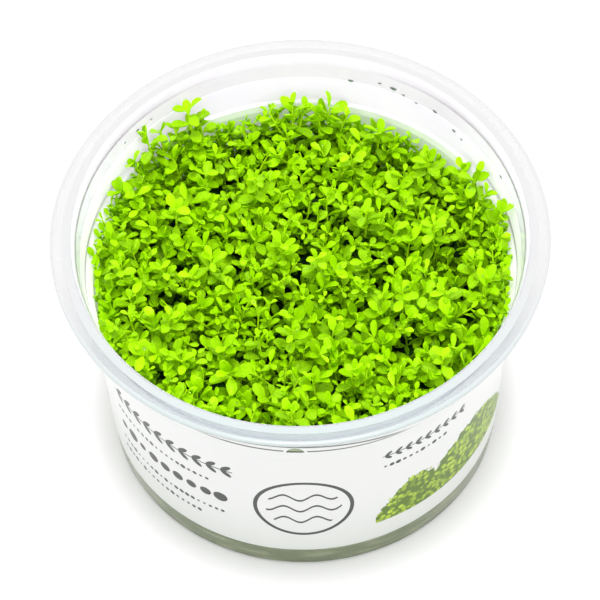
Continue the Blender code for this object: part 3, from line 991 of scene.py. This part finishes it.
def shape_leaf(bm, width, foot_width, cup, droop):
    """Squeeze a disc to a leaf with a narrow foot and a round tip, and curl it about its midrib."""
    for vert in bm.verts:
        along = 0.5 + vert.co.x
        narrow = foot_width + (1.0 - foot_width) * min(1.0, along / LEAF_SHOULDER)
        across = vert.co.y * width * narrow
        rise = cup * 2.0 * abs(across) ** LEAF_CUP_POWER + droop * along * along
        vert.co = Vector((along, across, rise + vert.co.z))


def finish_template(name, bm, blade_place, material):
    """A template object whose `blade` coordinates tell how far along and across it a corner is."""
    layer = bm.loops.layers.uv.new("blade")
    for face in bm.faces:
        for loop in face.loops:
            loop[layer].uv = blade_place(loop.vert.co)
    mesh = smooth_mesh(name, bm, [material], TEMPLATE_SMOOTH_ANGLE)
    return bpy.data.objects.new(name, mesh)


def make_leaf_template(name, width, foot_width, cup, droop, material):
    bm = bmesh.new()
    bmesh.ops.create_circle(bm, cap_ends=True, segments=LEAF_EDGE_POINTS, radius=0.5)
    foot = min(bm.verts, key=lambda vert: vert.co.x)
    tip = max(bm.verts, key=lambda vert: vert.co.x)
    midrib = bmesh.ops.connect_verts(bm, verts=[foot, tip])["edges"]
    bmesh.ops.subdivide_edges(bm, edges=midrib, cuts=MIDRIB_CUTS)
    bmesh.ops.triangulate(bm, faces=bm.faces[:])
    bmesh.ops.solidify(bm, geom=bm.faces[:], thickness=LEAF_THICKNESS)
    shape_leaf(bm, width, foot_width, cup, droop)
    bmesh.ops.recalc_face_normals(bm, faces=bm.faces[:])
    return finish_template(name, bm, lambda co: (co.x, 0.5 + co.y / width), material)


# %% [markdown]
# Stems are short rounded rods, one between each two pairs of leaves. The rod template is one unit long
# along Z, so that a copy can be stretched to any length without changing its thickness.

# %% Stem template
STEM_SIDES = 6
STEM_TOP_RADIUS = 0.92


def make_stem_template(name, material):
    bm = bmesh.new()
    bmesh.ops.create_cone(
        bm, cap_ends=True, segments=STEM_SIDES, radius1=1.0, radius2=STEM_TOP_RADIUS, depth=1.0
    )
    bmesh.ops.translate(bm, verts=bm.verts[:], vec=(0.0, 0.0, 0.5))
    return finish_template(name, bm, lambda co: (co.z, 0.5), material)


# %% [markdown]
# ## Leaf and stem green
# The leaves are a very bright yellow-green with a soft gloss. Each copy carries its own `tone`, from 0
# for an old leaf deep in the carpet to 1 for a young one in the light, and the shader mixes two greens
# by it, for the stems as well. The dark end is partly the age of a leaf and partly painted shade for
# the depth of the carpet. The midrib and the foot of a blade are a shade paler, and a fine noise
# mottles the blade.

# %% Greens
# the dark end of the tone is partly age and partly painted shade of the carpet's depth
OLD_SHADED_GREEN = (0.015, 0.08, 0.001, 1.0)
YOUNG_GREEN = (0.37, 0.74, 0.001, 1.0)
VEIN_GREEN = (0.46, 0.82, 0.004, 1.0)
STEM_GREENS = ((0.10, 0.24, 0.005, 1.0), (0.52, 0.84, 0.01, 1.0))
GLOSS_TINT = (0.66, 1.0, 0.16, 1.0)
LEAF_GRAIN = (1500.0, 0.03 * MM, 0.5)
# scale of a noise, and the least and most that it gives
LEAF_MOTTLE = (1800.0, -0.10, 0.10)
LEAF_ROUGHNESS = (700.0, 0.30, 0.46)
STEM_STREAKS = (900.0, 0.85, 1.1)
MIDRIB_HALF_WIDTH = 0.09
MIDRIB_PALENESS = 0.30
FOOT_REACH = 0.3
FOOT_PALENESS = 0.35


def make_leaf_green():
    material, tree, shader = make_material(
        "leaf_green", Specular_IOR_Level=0.34, Specular_Tint=GLOSS_TINT
    )
    tone = tone_of_copy(tree)
    mottled = math_node(tree, "ADD", tone, clouds(tree, *LEAF_MOTTLE))
    green = mix_colours(tree, mottled, OLD_SHADED_GREEN, YOUNG_GREEN)
    along, across, _ = axes(tree, uv_place(tree, "blade"))
    off_midrib = math_node(tree, "ABSOLUTE", math_node(tree, "SUBTRACT", across, 0.5))
    midrib = spread_range(tree, off_midrib, 0.0, MIDRIB_HALF_WIDTH, MIDRIB_PALENESS, 0.0)
    foot = spread_range(tree, along, 0.0, FOOT_REACH, FOOT_PALENESS, 0.0)
    pale = both(tree, either(tree, [midrib, foot]), tone)
    paint(tree, shader, mix_colours(tree, pale, green, VEIN_GREEN))
    tree.links.new(clouds(tree, *LEAF_ROUGHNESS), shader.inputs["Roughness"])
    bumps(tree, shader, *LEAF_GRAIN)
    return material


def make_stem_green():
    material, tree, shader = make_material(
        "stem_green", Roughness=0.5, Specular_IOR_Level=0.15, Specular_Tint=GLOSS_TINT
    )
    green = mix_colours(tree, tone_of_copy(tree), *STEM_GREENS)
    streaky = mix_colours(tree, 1.0, green, clouds(tree, *STEM_STREAKS), blend="MULTIPLY")
    paint(tree, shader, streaky)
    return material


leaf_green = make_leaf_green()
stem_green = make_stem_green()
templates = bpy.data.collections.new("plant_templates")
for number, sizes in enumerate(LEAF_KINDS):
    templates.objects.link(make_leaf_template(f"a_leaf_{number}", *sizes, leaf_green))
templates.objects.link(make_stem_template("b_stem", stem_green))
STEM_KIND = len(LEAF_KINDS)

# %% [markdown]
# ## Scattering copies with Geometry Nodes
# A piece of the plant starts as bare points. Each point says which template stands on it, how that is
# turned and how large it is. Instance on Points puts the templates there, Realize Instances makes them
# real faces, and the result is kept as a plain mesh. That is much faster than copying faces in Python,
# and the point's own values, such as the tone, arrive on every face of its copy.

# %% Scattering


def make_scatter_group(collection):
    group = bpy.data.node_groups.new("stand_templates_on_points", "GeometryNodeTree")
    for way in ("INPUT", "OUTPUT"):
        group.interface.new_socket("Geometry", in_out=way, socket_type="NodeSocketGeometry")
    nodes = group.nodes
    given = nodes.new("NodeGroupInput")
    result = nodes.new("NodeGroupOutput")
    pick = nodes.new("GeometryNodeCollectionInfo")
    pick.inputs["Collection"].default_value = collection
    pick.inputs["Separate Children"].default_value = True
    pick.inputs["Reset Children"].default_value = True
    stand = nodes.new("GeometryNodeInstanceOnPoints")
    stand.inputs["Pick Instance"].default_value = True
    real = nodes.new("GeometryNodeRealizeInstances")
    group.links.new(given.outputs[0], stand.inputs["Points"])
    group.links.new(pick.outputs["Instances"], stand.inputs["Instance"])
    for name, kind, socket in (
        ("kind", "INT", "Instance Index"),
        ("turn", "QUATERNION", "Rotation"),
        ("size", "FLOAT_VECTOR", "Scale"),
    ):
        reader = nodes.new("GeometryNodeInputNamedAttribute")
        reader.data_type = kind
        reader.inputs["Name"].default_value = name
        group.links.new(reader.outputs["Attribute"], stand.inputs[socket])
    group.links.new(stand.outputs["Instances"], real.inputs["Geometry"])
    group.links.new(real.outputs["Geometry"], result.inputs[0])
    return group


scatter_group = make_scatter_group(templates)


def scatter(name, copies, slot):
    """Make one piece from copies, each (place, turn, size, kind, tone)."""
    mesh = bpy.data.meshes.new(name + "_points")
    mesh.vertices.add(len(copies))
    places, turns, sizes, kinds, tones = zip(*copies)
    mesh.vertices.foreach_set("co", np.ravel(places))
    for label, kind, field, values in (
        ("turn", "QUATERNION", "value", turns),
        ("size", "FLOAT_VECTOR", "vector", sizes),
        ("kind", "INT", "value", kinds),
        ("tone", "FLOAT", "value", tones),
    ):
        layer = mesh.attributes.new(label, kind, "POINT")
        layer.data.foreach_set(field, np.ravel(values))
    points = add_object(name + "_points", mesh)
    points.modifiers.new("stand", "NODES").node_group = scatter_group
    made = baked(points)
    bpy.data.objects.remove(points)
    for spare in ("turn", "size", "kind"):
        if spare in made.attributes:
            made.attributes.remove(made.attributes[spare])
    return place(name, made, slot)


print("scatter group ready")

# %% [markdown]
# ## How a shoot grows
# A shoot is a stem with pairs of leaves. The two leaves of a pair stand opposite each other, and each
# pair is a quarter turn on from the pair below. Pairs come closer together towards the tip, where the
# leaves are younger, smaller and more upright, so from above a tip looks like a small green rosette.
# Every leaf that would poke through the wall is made smaller and turned inwards.

# %% Growing a shoot
LEAF_LENGTH = 3.5 * MM
STEM_RADIUS = 0.25 * MM
WALL_ROOM = 0.35 * MM
STEM_WALL_ROOM = 2.0 * WALL_ROOM
QUARTER_TURN = 0.25 * FULL_TURN
PICKED_KINDS = (0, 0, 1, 1, 2, 3)
LEAF_WIDEST = 0.55
LEAF_FLANK = 0.32
TILT_SPREAD = 0.22
WAY_SPREADS = (0.15, 0.15, 0.12)
FACE_SPREAD = 0.35
FACE_UP = 0.4
FIT_TRIES = 9
FIT_SHRINK = 0.86
FIT_LEAN = 0.2


def leaf_turn(along, above):
    """The rotation whose X axis runs along the leaf and whose Z axis leaves its upper side."""
    along = along.normalized()
    side = above.cross(along).normalized()
    upper = along.cross(side)
    return tuple(Matrix((along, side, upper)).transposed().to_quaternion())


def fits(point):
    return math.hypot(point.x, point.y) < wall_inner(point.z) - WALL_ROOM


def within(point, limit):
    """The point, pulled towards the axis if it is farther from it than the limit."""
    reach = math.hypot(point.x, point.y)
    if reach <= limit:
        return point
    return Vector((point.x * limit / reach, point.y * limit / reach, point.z))


def level_gauss(draws, spread):
    """A random level vector."""
    return Vector((draws.gauss(0.0, spread), draws.gauss(0.0, spread), 0.0))


def leaf_fits(joint, along, length):
    """True where the tip and both flanks of a leaf are inside the wall."""
    flank = UP.cross(along) * LEAF_FLANK * length
    middle = joint + along * LEAF_WIDEST * length
    return all(fits(point) for point in (joint + along * length, middle + flank, middle - flank))


def leaf_copy(joint, outward, stem_way, tilt, length, tone, draws):
    """One leaf at a joint: it leaves sideways, rises by its tilt and faces up along the stem."""
    tilt += draws.gauss(0.0, TILT_SPREAD)
    along = outward * math.cos(tilt) + stem_way * math.sin(tilt)
    along += Vector([draws.gauss(0.0, spread) for spread in WAY_SPREADS])
    along.normalize()
    above = stem_way + UP * FACE_UP + level_gauss(draws, FACE_SPREAD)
    for _ in range(FIT_TRIES):
        if leaf_fits(joint, along, length):
            break
        length *= FIT_SHRINK
        inward = Vector((-joint.x, -joint.y, 0.0)).normalized()
        along = (along + (UP + inward) * FIT_LEAN).normalized()
    turn = leaf_turn(along, above)
    kind = draws.choice(PICKED_KINDS)
    size = (length, length, length)
    return (tuple(joint + along * STEM_RADIUS), turn, size, kind, tone)


def stem_copy(start, end, radius, tone):
    way = end - start
    turn = tuple(UP.rotation_difference(way.normalized()))
    size = (radius, radius, way.length + radius)
    return (tuple(start), turn, size, STEM_KIND, tone)


print(f"leaves about {1000 * LEAF_LENGTH:.1f} mm long, stems {2000 * STEM_RADIUS:.1f} mm thick")

# %% [markdown]
# The stem is a gentle curve from its foot to its tip, and the grower walks up it from pair to pair.
# What changes on the way, such as the spacing, the leaves' size and tilt and the stem's thickness,
# follows from how far up the pair is.

# %% One shoot
TAPERS = (0.5, 0.5, 0.35, 0.2)
TAPER_POWER = 3
LOW_LEAF_SIZE = 1.08
LEAF_SIZE_SPREAD = (0.85, 1.12)
PAIR_CROWDING = 0.82
STEM_FOOT_SIZE = 1.1
STEM_THINNING = 0.35
STEM_TONE = 0.9
LOW_TILT = 8.0
TILT_RISE = 40.0
# how dark the lowest pair's tone is painted, as shade
LOW_PAIR_SHADE = 0.52
TONE_SPREAD = 0.09
HEADING_SPREAD = 0.2
CARPET_BOW = 0.18


def curve_point(foot, knee, tip, share):
    rest = 1.0 - share
    return foot * rest**2 + knee * 2.0 * share * rest + tip * share * share


def pair_way(facing, heading, quarters, stem_way):
    """The level way of a pair's leaves: across the stem by a heading, or in step with `facing`."""
    if not facing:
        return Matrix.Rotation(heading, 3, stem_way) @ stem_way.orthogonal().normalized()
    level = (facing - stem_way * facing.dot(stem_way)).normalized()
    return Matrix.Rotation(QUARTER_TURN * quarters, 3, stem_way) @ level


def grow_shoot(foot, tip, pairs, size, draws, bow=CARPET_BOW, tone=1.0, facing=None):
    """Leaves and stem rods of one shoot. The topmost pair lies along `facing`, if that is given."""
    rise = tip - foot
    sideways = Vector((draws.uniform(-1, 1), draws.uniform(-1, 1), 0.0)) * rise.length * bow
    knee = foot + rise * 0.5 + sideways
    leaves, rods = [], []
    heading = draws.uniform(0.0, math.pi)
    taper = draws.choice(TAPERS)
    last = within(foot, wall_inner(foot.z) - STEM_WALL_ROOM)
    for pair in range(pairs):
        youth = (pair + 1) / pairs
        share = youth**PAIR_CROWDING
        joint = curve_point(foot, knee, tip, share)
        joint = within(joint, wall_inner(joint.z) - STEM_WALL_ROOM)
        stem_way = (joint - last).normalized()
        radius = STEM_RADIUS * (STEM_FOOT_SIZE - STEM_THINNING * share)
        rods.append(stem_copy(last, joint, radius, tone * STEM_TONE))
        length = LEAF_LENGTH * size * (LOW_LEAF_SIZE - taper * youth**TAPER_POWER)
        length *= draws.uniform(*LEAF_SIZE_SPREAD)
        tilt = math.radians(LOW_TILT + TILT_RISE * youth**2)
        level = pair_way(facing, heading, pairs - 1 - pair, stem_way)
        for side in (level, -level):
            # Lower pairs get a darker tone: painted shade for their depth in the mat.
            shade = tone * (LOW_PAIR_SHADE + (1.0 - LOW_PAIR_SHADE) * youth) + draws.gauss(0.0, TONE_SPREAD)
            shade = min(max(shade, 0.0), 1.0)
            leaves.append(leaf_copy(joint, side, stem_way, tilt, length, shade, draws))
        heading += QUARTER_TURN + draws.gauss(0.0, HEADING_SPREAD)
        last = joint
    return leaves, rods


def gathered(shoots):
    """The leaves of all shoots in one list, and their stem rods in another."""
    leaves, rods = [], []
    for shoot_leaves, shoot_rods in shoots:
        leaves += shoot_leaves
        rods += shoot_rods
    return leaves, rods


print("shoot grower ready")

# %% [markdown]
# ## The carpet
# The carpet is one mat of several hundred such shoots. A sunflower spiral spreads their tips evenly
# over the cup, and a little random shift hides the spiral. The mat stands a bit higher at the sides,
# where shoots climb the wall, and lower at the back. A second, lower layer of older shoots fills the
# space under the tips with darker leaves, whose low tones are painted shade. Two tiers of shoots stand
# right at the wall and press their leaves on it, as plants in a narrow cup do, and a list gives their
# height round the cup.

# %% Carpet of shoots
CARPET_TOP = 45.4 * MM
SIDE_RISE = 1.6 * MM
BACK_DROP = 2.6 * MM
CARPET_RADIUS = 41.6 * MM
GOLDEN_ANGLE = math.pi * (3.0 - math.sqrt(5.0))
SHOOT_DEPTH = 9.0 * MM
SHOOT_LEAN = 0.28
FOOT_LIMIT = 0.94
PLANT_SEED = 21
TIP_SIZES = (0.65, 0.8, 0.9, 1.0, 1.25)
CARPET_LAYERS = (
    # shoots, pairs of leaves, random shift, least and most rise in millimetres, sizes and tones
    (440, 5, 1.1, (-1.2, 3.6), TIP_SIZES, (0.78, 1.0)),
    # the lower layer's low tones are painted shade
    (240, 4, 1.5, (-3.0, -6.5), (1.0,), (0.15, 0.5)),
)
MOUNDS = (
    # x, y, reach and rise in millimetres
    (-35.5, 21.0, 7.0, 4.2),
    (-25.0, 33.0, 6.0, 4.0),
    (-39.0, 9.0, 6.0, 2.6),
    (-4.0, 40.0, 5.0, 4.0),
    (39.0, 13.0, 6.0, 2.8),
    (40.5, -7.0, 6.0, 3.6),
)
HOLLOWS = (
    # x and y in millimetres
    (-24.2, 24.5), (0.6, 6.0), (-14.2, 4.8),
    (20.7, -21.5), (6.8, -29.6), (-13.2, -22.5),
)
HOLLOW_REACH = 2.6 * MM
EDGE_PAIRS = 4
EDGE_SIZES = (0.8, 0.9, 1.1)
EDGE_TONES = (0.8, 1.0)
EDGE_FACE_RISE = 0.3
EDGE_TIERS = (
    # shoots, least and most depth under the edge's height and room to the wall in millimetres
    (84, 0.2, 2.4, 1.0, 1.5),
    (64, 2.8, 5.6, 1.2, 2.6),
)
EDGE_HEIGHTS = (
    # degrees round from the right, and the height of the leaves at the wall in millimetres
    (-24, 49.5), (-8, 49.5), (0, 47.5), (16, 50.5),
    (32, 47.5), (42, 44.5), (60, 45.5), (88, 46.5),
    (96, 49.0), (106, 46.5), (120, 49.0), (150, 50.0),
    (164, 50.0), (178, 48.0), (186, 46.5), (204, 49.5),
)


def carpet_height(x, y):
    side = (x / CARPET_RADIUS) ** 2
    back = max(0.0, y / CARPET_RADIUS) ** 2
    height = CARPET_TOP + SIDE_RISE * side - BACK_DROP * back
    for mound_x, mound_y, reach, rise in MOUNDS:
        away = math.hypot(x - mound_x * MM, y - mound_y * MM) / (reach * MM)
        height += rise * MM * math.exp(-(away**2))
    return height


def in_hollow(x, y):
    return any(math.hypot(x - hx * MM, y - hy * MM) < HOLLOW_REACH for hx, hy in HOLLOWS)


def spiral_place(index, count, draws, shift):
    radius = CARPET_RADIUS * math.sqrt((index + 0.5) / count)
    angle = index * GOLDEN_ANGLE
    x = radius * math.cos(angle) + draws.gauss(0.0, shift)
    y = radius * math.sin(angle) + draws.gauss(0.0, shift)
    reach = math.hypot(x, y)
    if reach > CARPET_RADIUS:
        x, y = x * CARPET_RADIUS / reach, y * CARPET_RADIUS / reach
    return x, y


def carpet_shoot(x, y, top, pairs, size, tone, draws, facing=None):
    """A carpet shoot whose foot leans in a random direction under its tip."""
    lean = level_gauss(draws, SHOOT_LEAN) * SHOOT_DEPTH
    tip = Vector((x, y, top))
    foot = tip - UP * SHOOT_DEPTH + lean
    foot = within(foot, FOOT_LIMIT * wall_inner(foot.z))
    return grow_shoot(foot, tip, pairs, size, draws, tone=tone, facing=facing)


def edge_shoot(degree, tier, draws):
    """A shoot by the wall whose topmost leaves lie along it."""
    _, least, most, near_wall, off_wall = tier
    top = (float(np.interp(degree, *zip(*EDGE_HEIGHTS))) - draws.uniform(least, most)) * MM
    reach = wall_inner(top) - draws.uniform(near_wall, off_wall) * MM
    turn = math.radians(degree)
    x, y = reach * math.cos(turn), reach * math.sin(turn)
    along_wall = Vector((-math.sin(turn), math.cos(turn), EDGE_FACE_RISE))
    size = draws.choice(EDGE_SIZES)
    tone = draws.uniform(*EDGE_TONES)
    return carpet_shoot(x, y, top, EDGE_PAIRS, size, tone, draws, facing=along_wall)


def edge_shoots():
    """Shoots that press their leaves on the wall, all round but for the hidden front."""
    draws = random.Random(PLANT_SEED + 3)
    start, end = EDGE_HEIGHTS[0][0], EDGE_HEIGHTS[-1][0]
    for tier in EDGE_TIERS:
        for index in range(tier[0]):
            degree = start + (end - start) * (index + draws.random()) / tier[0]
            yield edge_shoot(degree, tier, draws)


def layer_shoots(draws, count, pairs, shift, rises, sizes, tones):
    """Shoots of one layer, spread over the cup but for the hollows."""
    for index in range(count):
        x, y = spiral_place(index, count, draws, shift * MM)
        if in_hollow(x, y):
            continue
        top = carpet_height(x, y) + draws.uniform(*rises) * MM
        size = draws.choice(sizes) if len(sizes) > 1 else sizes[0]
        yield carpet_shoot(x, y, top, pairs, size, draws.uniform(*tones), draws)


carpet_draws = random.Random(PLANT_SEED)
carpet_leaves, tip_rods = gathered(layer_shoots(carpet_draws, *CARPET_LAYERS[0]))
under_leaves, under_rods = gathered(layer_shoots(carpet_draws, *CARPET_LAYERS[1]))
edge_leaves, edge_rods = gathered(edge_shoots())
carpet_piece = scatter("carpet_leaves", carpet_leaves, "carpet_leaves")
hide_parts("carpet")
scatter("carpet_old_leaves", under_leaves, "carpet_leaves")
scatter("carpet_edge_leaves", edge_leaves, "carpet_leaves")
scatter("carpet_stems", tip_rods + under_rods + edge_rods, "carpet_leaves")

# %% [markdown]
# Under the leaves the mat is a dark tangle of stems and old leaves that no light reaches. One lumpy
# closed body stands for it, from the gel up to a little under the canopy, and its near-black greens are
# painted shade. It is what makes the gaps between the leaves look deep.

# %% Dark depths of the carpet
DEPTH_TOP = 38.5 * MM
DEPTH_REACH = 41.0 * MM
DEPTH_RINGS = (0.9, 0.75, 0.6, 0.45, 0.3, 0.15, 0.0)
DEPTH_WALL_ROOM = 3.0 * GEL_GAP
DEPTH_SHOULDER = 2.0 * MM
DEPTH_FILLET = 1.5 * MM
DEPTH_STEPS = 64
DEPTH_LUMP = 1.4 * MM
DEPTH_LUMPS_FROM = DEPTH_TOP - 0.5 * MM
TANGLE_SHADE_GREENS = ((0.002, 0.016, 0.001, 1.0), (0.012, 0.08, 0.001, 1.0))
TANGLE_RANGE = (0.45, 0.7)
TANGLE_SCALE = 500.0
TANGLE_BUMPS = (600.0, 0.6 * MM, 1.0, FINE_DETAIL)


def make_depths():
    material, tree, shader = make_material(
        "shaded_tangle", Roughness=0.8, Specular_IOR_Level=0.2
    )
    share = spread_range(tree, noise(tree, TANGLE_SCALE, FINE_DETAIL), *TANGLE_RANGE)
    paint(tree, shader, mix_colours(tree, share, *TANGLE_SHADE_GREENS))
    bumps(tree, shader, *TANGLE_BUMPS)
    draws = random.Random(PLANT_SEED + 1)
    bm = bmesh.new()
    floor = GEL_TOP + GEL_GAP
    shoulder = wall_inner(DEPTH_TOP) - DEPTH_WALL_ROOM
    corners = [
        (0.0, floor, 0.0),
        (wall_inner(floor) - DEPTH_WALL_ROOM, floor, 0.0),
        (shoulder, DEPTH_TOP - DEPTH_SHOULDER, DEPTH_FILLET),
    ]
    corners += [(DEPTH_REACH * share, DEPTH_TOP, 0.0) for share in DEPTH_RINGS]
    spin_profile(bm, rounded(corners, 3), DEPTH_STEPS)
    for vert in bm.verts:
        if vert.co.z > DEPTH_LUMPS_FROM:
            vert.co.z += draws.uniform(-DEPTH_LUMP, DEPTH_LUMP)
    finish_mesh("carpet_depths", bm, [material], "carpet_leaves")


make_depths()

# %% [markdown]
# ## Shoots that stand clear of the carpet
# Some shoots stand up out of the mat, and the tallest lean on the wall at the back and the sides. Each
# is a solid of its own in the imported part, so each is a piece of its own here, grown from where its
# solid stands. The tallest ones branch, and the list gives the tip of each branch.

# %% Standing shoots
TALL_TIPS = (
    # for each tall shoot its tips in millimetres, the highest first
    ((-22.4, 35.8, 56.6), (-20.0, 36.8, 52.0), (-25.4, 33.6, 53.0)),
    ((-31.2, 30.2, 54.0), (-28.2, 32.8, 53.0), (-34.0, 26.0, 51.4)),
    ((-0.8, 40.0, 51.4), (-5.6, 39.4, 50.2), (1.8, 40.0, 50.0)),
    ((7.0, 39.4, 51.0), (4.4, 39.0, 49.8), (10.4, 38.0, 49.4)),
    ((17.3, 35.4, 47.6), (20.8, 33.4, 46.8)),
    ((36.8, 19.6, 52.4), (33.8, 23.2, 49.8), (38.6, 15.8, 51.0)),
    ((41.2, 9.2, 53.4), (40.6, 4.8, 51.0)),
)
BRANCH_SIZES = (1.2, 1.0, 0.95)
BRANCH_SPREAD = 0.4
ROOT_REACH = 0.9
FEWEST_PAIRS = 4
LOW_SHOOT_PAIRS = 5
LOW_SHOOT_SIZE = 1.05
PAIR_SPACING = 2.0 * MM
FOOT_DEPTH = 3.0 * MM
TIP_ROOM = 1.0 * MM
SPRIG_TONE = 0.95
SPRIG_BOW = 0.1


def tall_branches(tips, foot_height, draws):
    """A tall shoot and its side branches, which all leave the mat close together."""
    top = Vector(tips[0]) * MM
    root = Vector((ROOT_REACH * top.x, ROOT_REACH * top.y, foot_height))
    for tip_mm, size in zip(tips, BRANCH_SIZES):
        tip = Vector(tip_mm) * MM
        foot = root.lerp(Vector((tip.x, tip.y, foot_height)), BRANCH_SPREAD)
        pairs = max(FEWEST_PAIRS, round((tip - foot).length / PAIR_SPACING))
        yield grow_shoot(foot, tip, pairs, size, draws, bow=SPRIG_BOW, tone=SPRIG_TONE)


def low_branch(low, high, draws):
    """One short shoot that stands where its solid does."""
    middle = 0.5 * (low + high)
    foot = Vector((middle.x, middle.y, low.z - FOOT_DEPTH))
    tip = Vector((middle.x, middle.y, high.z - TIP_ROOM))
    yield grow_shoot(
        foot, tip, LOW_SHOOT_PAIRS, LOW_SHOOT_SIZE, draws, bow=SPRIG_BOW, tone=SPRIG_TONE
    )


def grow_standing_shoots():
    draws = random.Random(PLANT_SEED + 2)
    shoots = sorted(name for name in frame["nodes"] if name.startswith("shoot_"))
    first_tall = len(shoots) - len(TALL_TIPS)
    for number, node in enumerate(shoots):
        low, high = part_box(node)
        if number < first_tall:
            branches = low_branch(low, high, draws)
        else:
            branches = tall_branches(TALL_TIPS[number - first_tall], low.z - FOOT_DEPTH, draws)
        leaves, rods = gathered(branches)
        sprig = scatter(node.replace("shoot", "sprig"), leaves + rods, "shoot_leaves")
        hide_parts(node)


grow_standing_shoots()

# %% [markdown]
# ## Drops of water
# The cup has been closed and damp, so drops of water hang on the bare wall over the plants, and a few
# lie on the leaves. A drop is a small ball of clear water. On the wall it is pressed flat to a dome,
# and there its water is painted a half-clear grey, standing for the dark edges of the cup that a real
# drop bends into view.

# %% Drops
WALL_DROPS = (
    # degrees round from the right, height and width in millimetres
    (132, 56.9, 0.7), (137, 56.9, 0.9), (142, 56.7, 0.6), (75, 55.4, 1.2),
    (67, 56.5, 0.8), (63, 56.4, 1.5), (60, 55.6, 0.8), (56, 55.0, 0.7),
    (50, 55.5, 1.1), (43, 53.9, 1.0), (40, 53.2, 0.7), (22, 55.6, 0.9),
)
WALL_DROP_ROOM = 0.03 * MM
WALL_DROP_DEPTH = 0.22
WALL_DROP_HEIGHT = 0.6
WALL_DROP_INSET = 1.3
# a painted grey for the dark edges that a drop on the wall bends into view
WALL_DROP_PAINTED_GREY = (0.25, 0.32, 0.27, 1.0)
WATER_SHADE = 0.9
WATER_CLOUD = 300.0
SMOOTH_ALL = 180.0
LEAF_DROP_COUNT = 60
LEAF_DROP_TONE = 0.85
LEAF_DROP_ALONG = 0.55
LEAF_DROP_LIFT = 0.6
LEAF_DROP_SIZES = (0.14 * MM, 0.42 * MM)


def make_water(name, colour, clearness):
    material, tree, shader = make_material(
        name, Roughness=0.02, IOR=1.33, Transmission_Weight=clearness
    )
    shaded = tuple(WATER_SHADE * part for part in colour)
    tint = mix_colours(tree, noise(tree, WATER_CLOUD), colour, shaded)
    paint(tree, shader, tint)
    return material


def add_ball(bm, matrix):
    bmesh.ops.create_icosphere(bm, subdivisions=2, radius=1.0, matrix=matrix)


def make_wall_drops():
    bm = bmesh.new()
    for degree, height, width in WALL_DROPS:
        turn = Matrix.Rotation(math.radians(degree), 4, "Z")
        half = 0.5 * width * MM
        depth = WALL_DROP_DEPTH * half
        reach = wall_inner(height * MM) - WALL_DROP_ROOM - WALL_DROP_INSET * depth
        shape = Matrix.Diagonal((depth, half, WALL_DROP_HEIGHT * half, 1.0))
        spot = Matrix.Translation((reach, 0.0, height * MM))
        add_ball(bm, turn @ spot @ shape)
    water = make_water("painted_grey_water", WALL_DROP_PAINTED_GREY, 0.5)
    finish_mesh("wall_drops", bm, [water], "cup_plastic", SMOOTH_ALL)


def make_leaf_drops(leaves):
    """Clear drops on the upper side of some of the carpet's leaves."""
    draws = random.Random(PLANT_SEED + 4)
    young = [leaf for leaf in leaves if leaf[4] > LEAF_DROP_TONE]
    bm = bmesh.new()
    for joint, turn, size, _, _ in draws.sample(young, LEAF_DROP_COUNT):
        radius = draws.uniform(*LEAF_DROP_SIZES)
        middle = Vector((LEAF_DROP_ALONG * size[0], 0.0, LEAF_DROP_LIFT * radius))
        centre = Vector(joint) + Quaternion(turn) @ middle
        add_ball(bm, Matrix.Translation(centre) @ Matrix.Scale(radius, 4))
    water = make_water("clear_water", (1.0, 1.0, 1.0, 1.0), 1.0)
    finish_mesh("leaf_drops", bm, [water], "carpet_leaves", SMOOTH_ALL)


make_wall_drops()
make_leaf_drops(carpet_leaves)

# %% [markdown]
# ## Finishing
# The templates that the copies were made from are removed. The dressed part has to stay
# inside the imported part's box.

# %% Finish
for template in list(templates.objects):
    bpy.data.objects.remove(template)
bpy.data.collections.remove(templates)
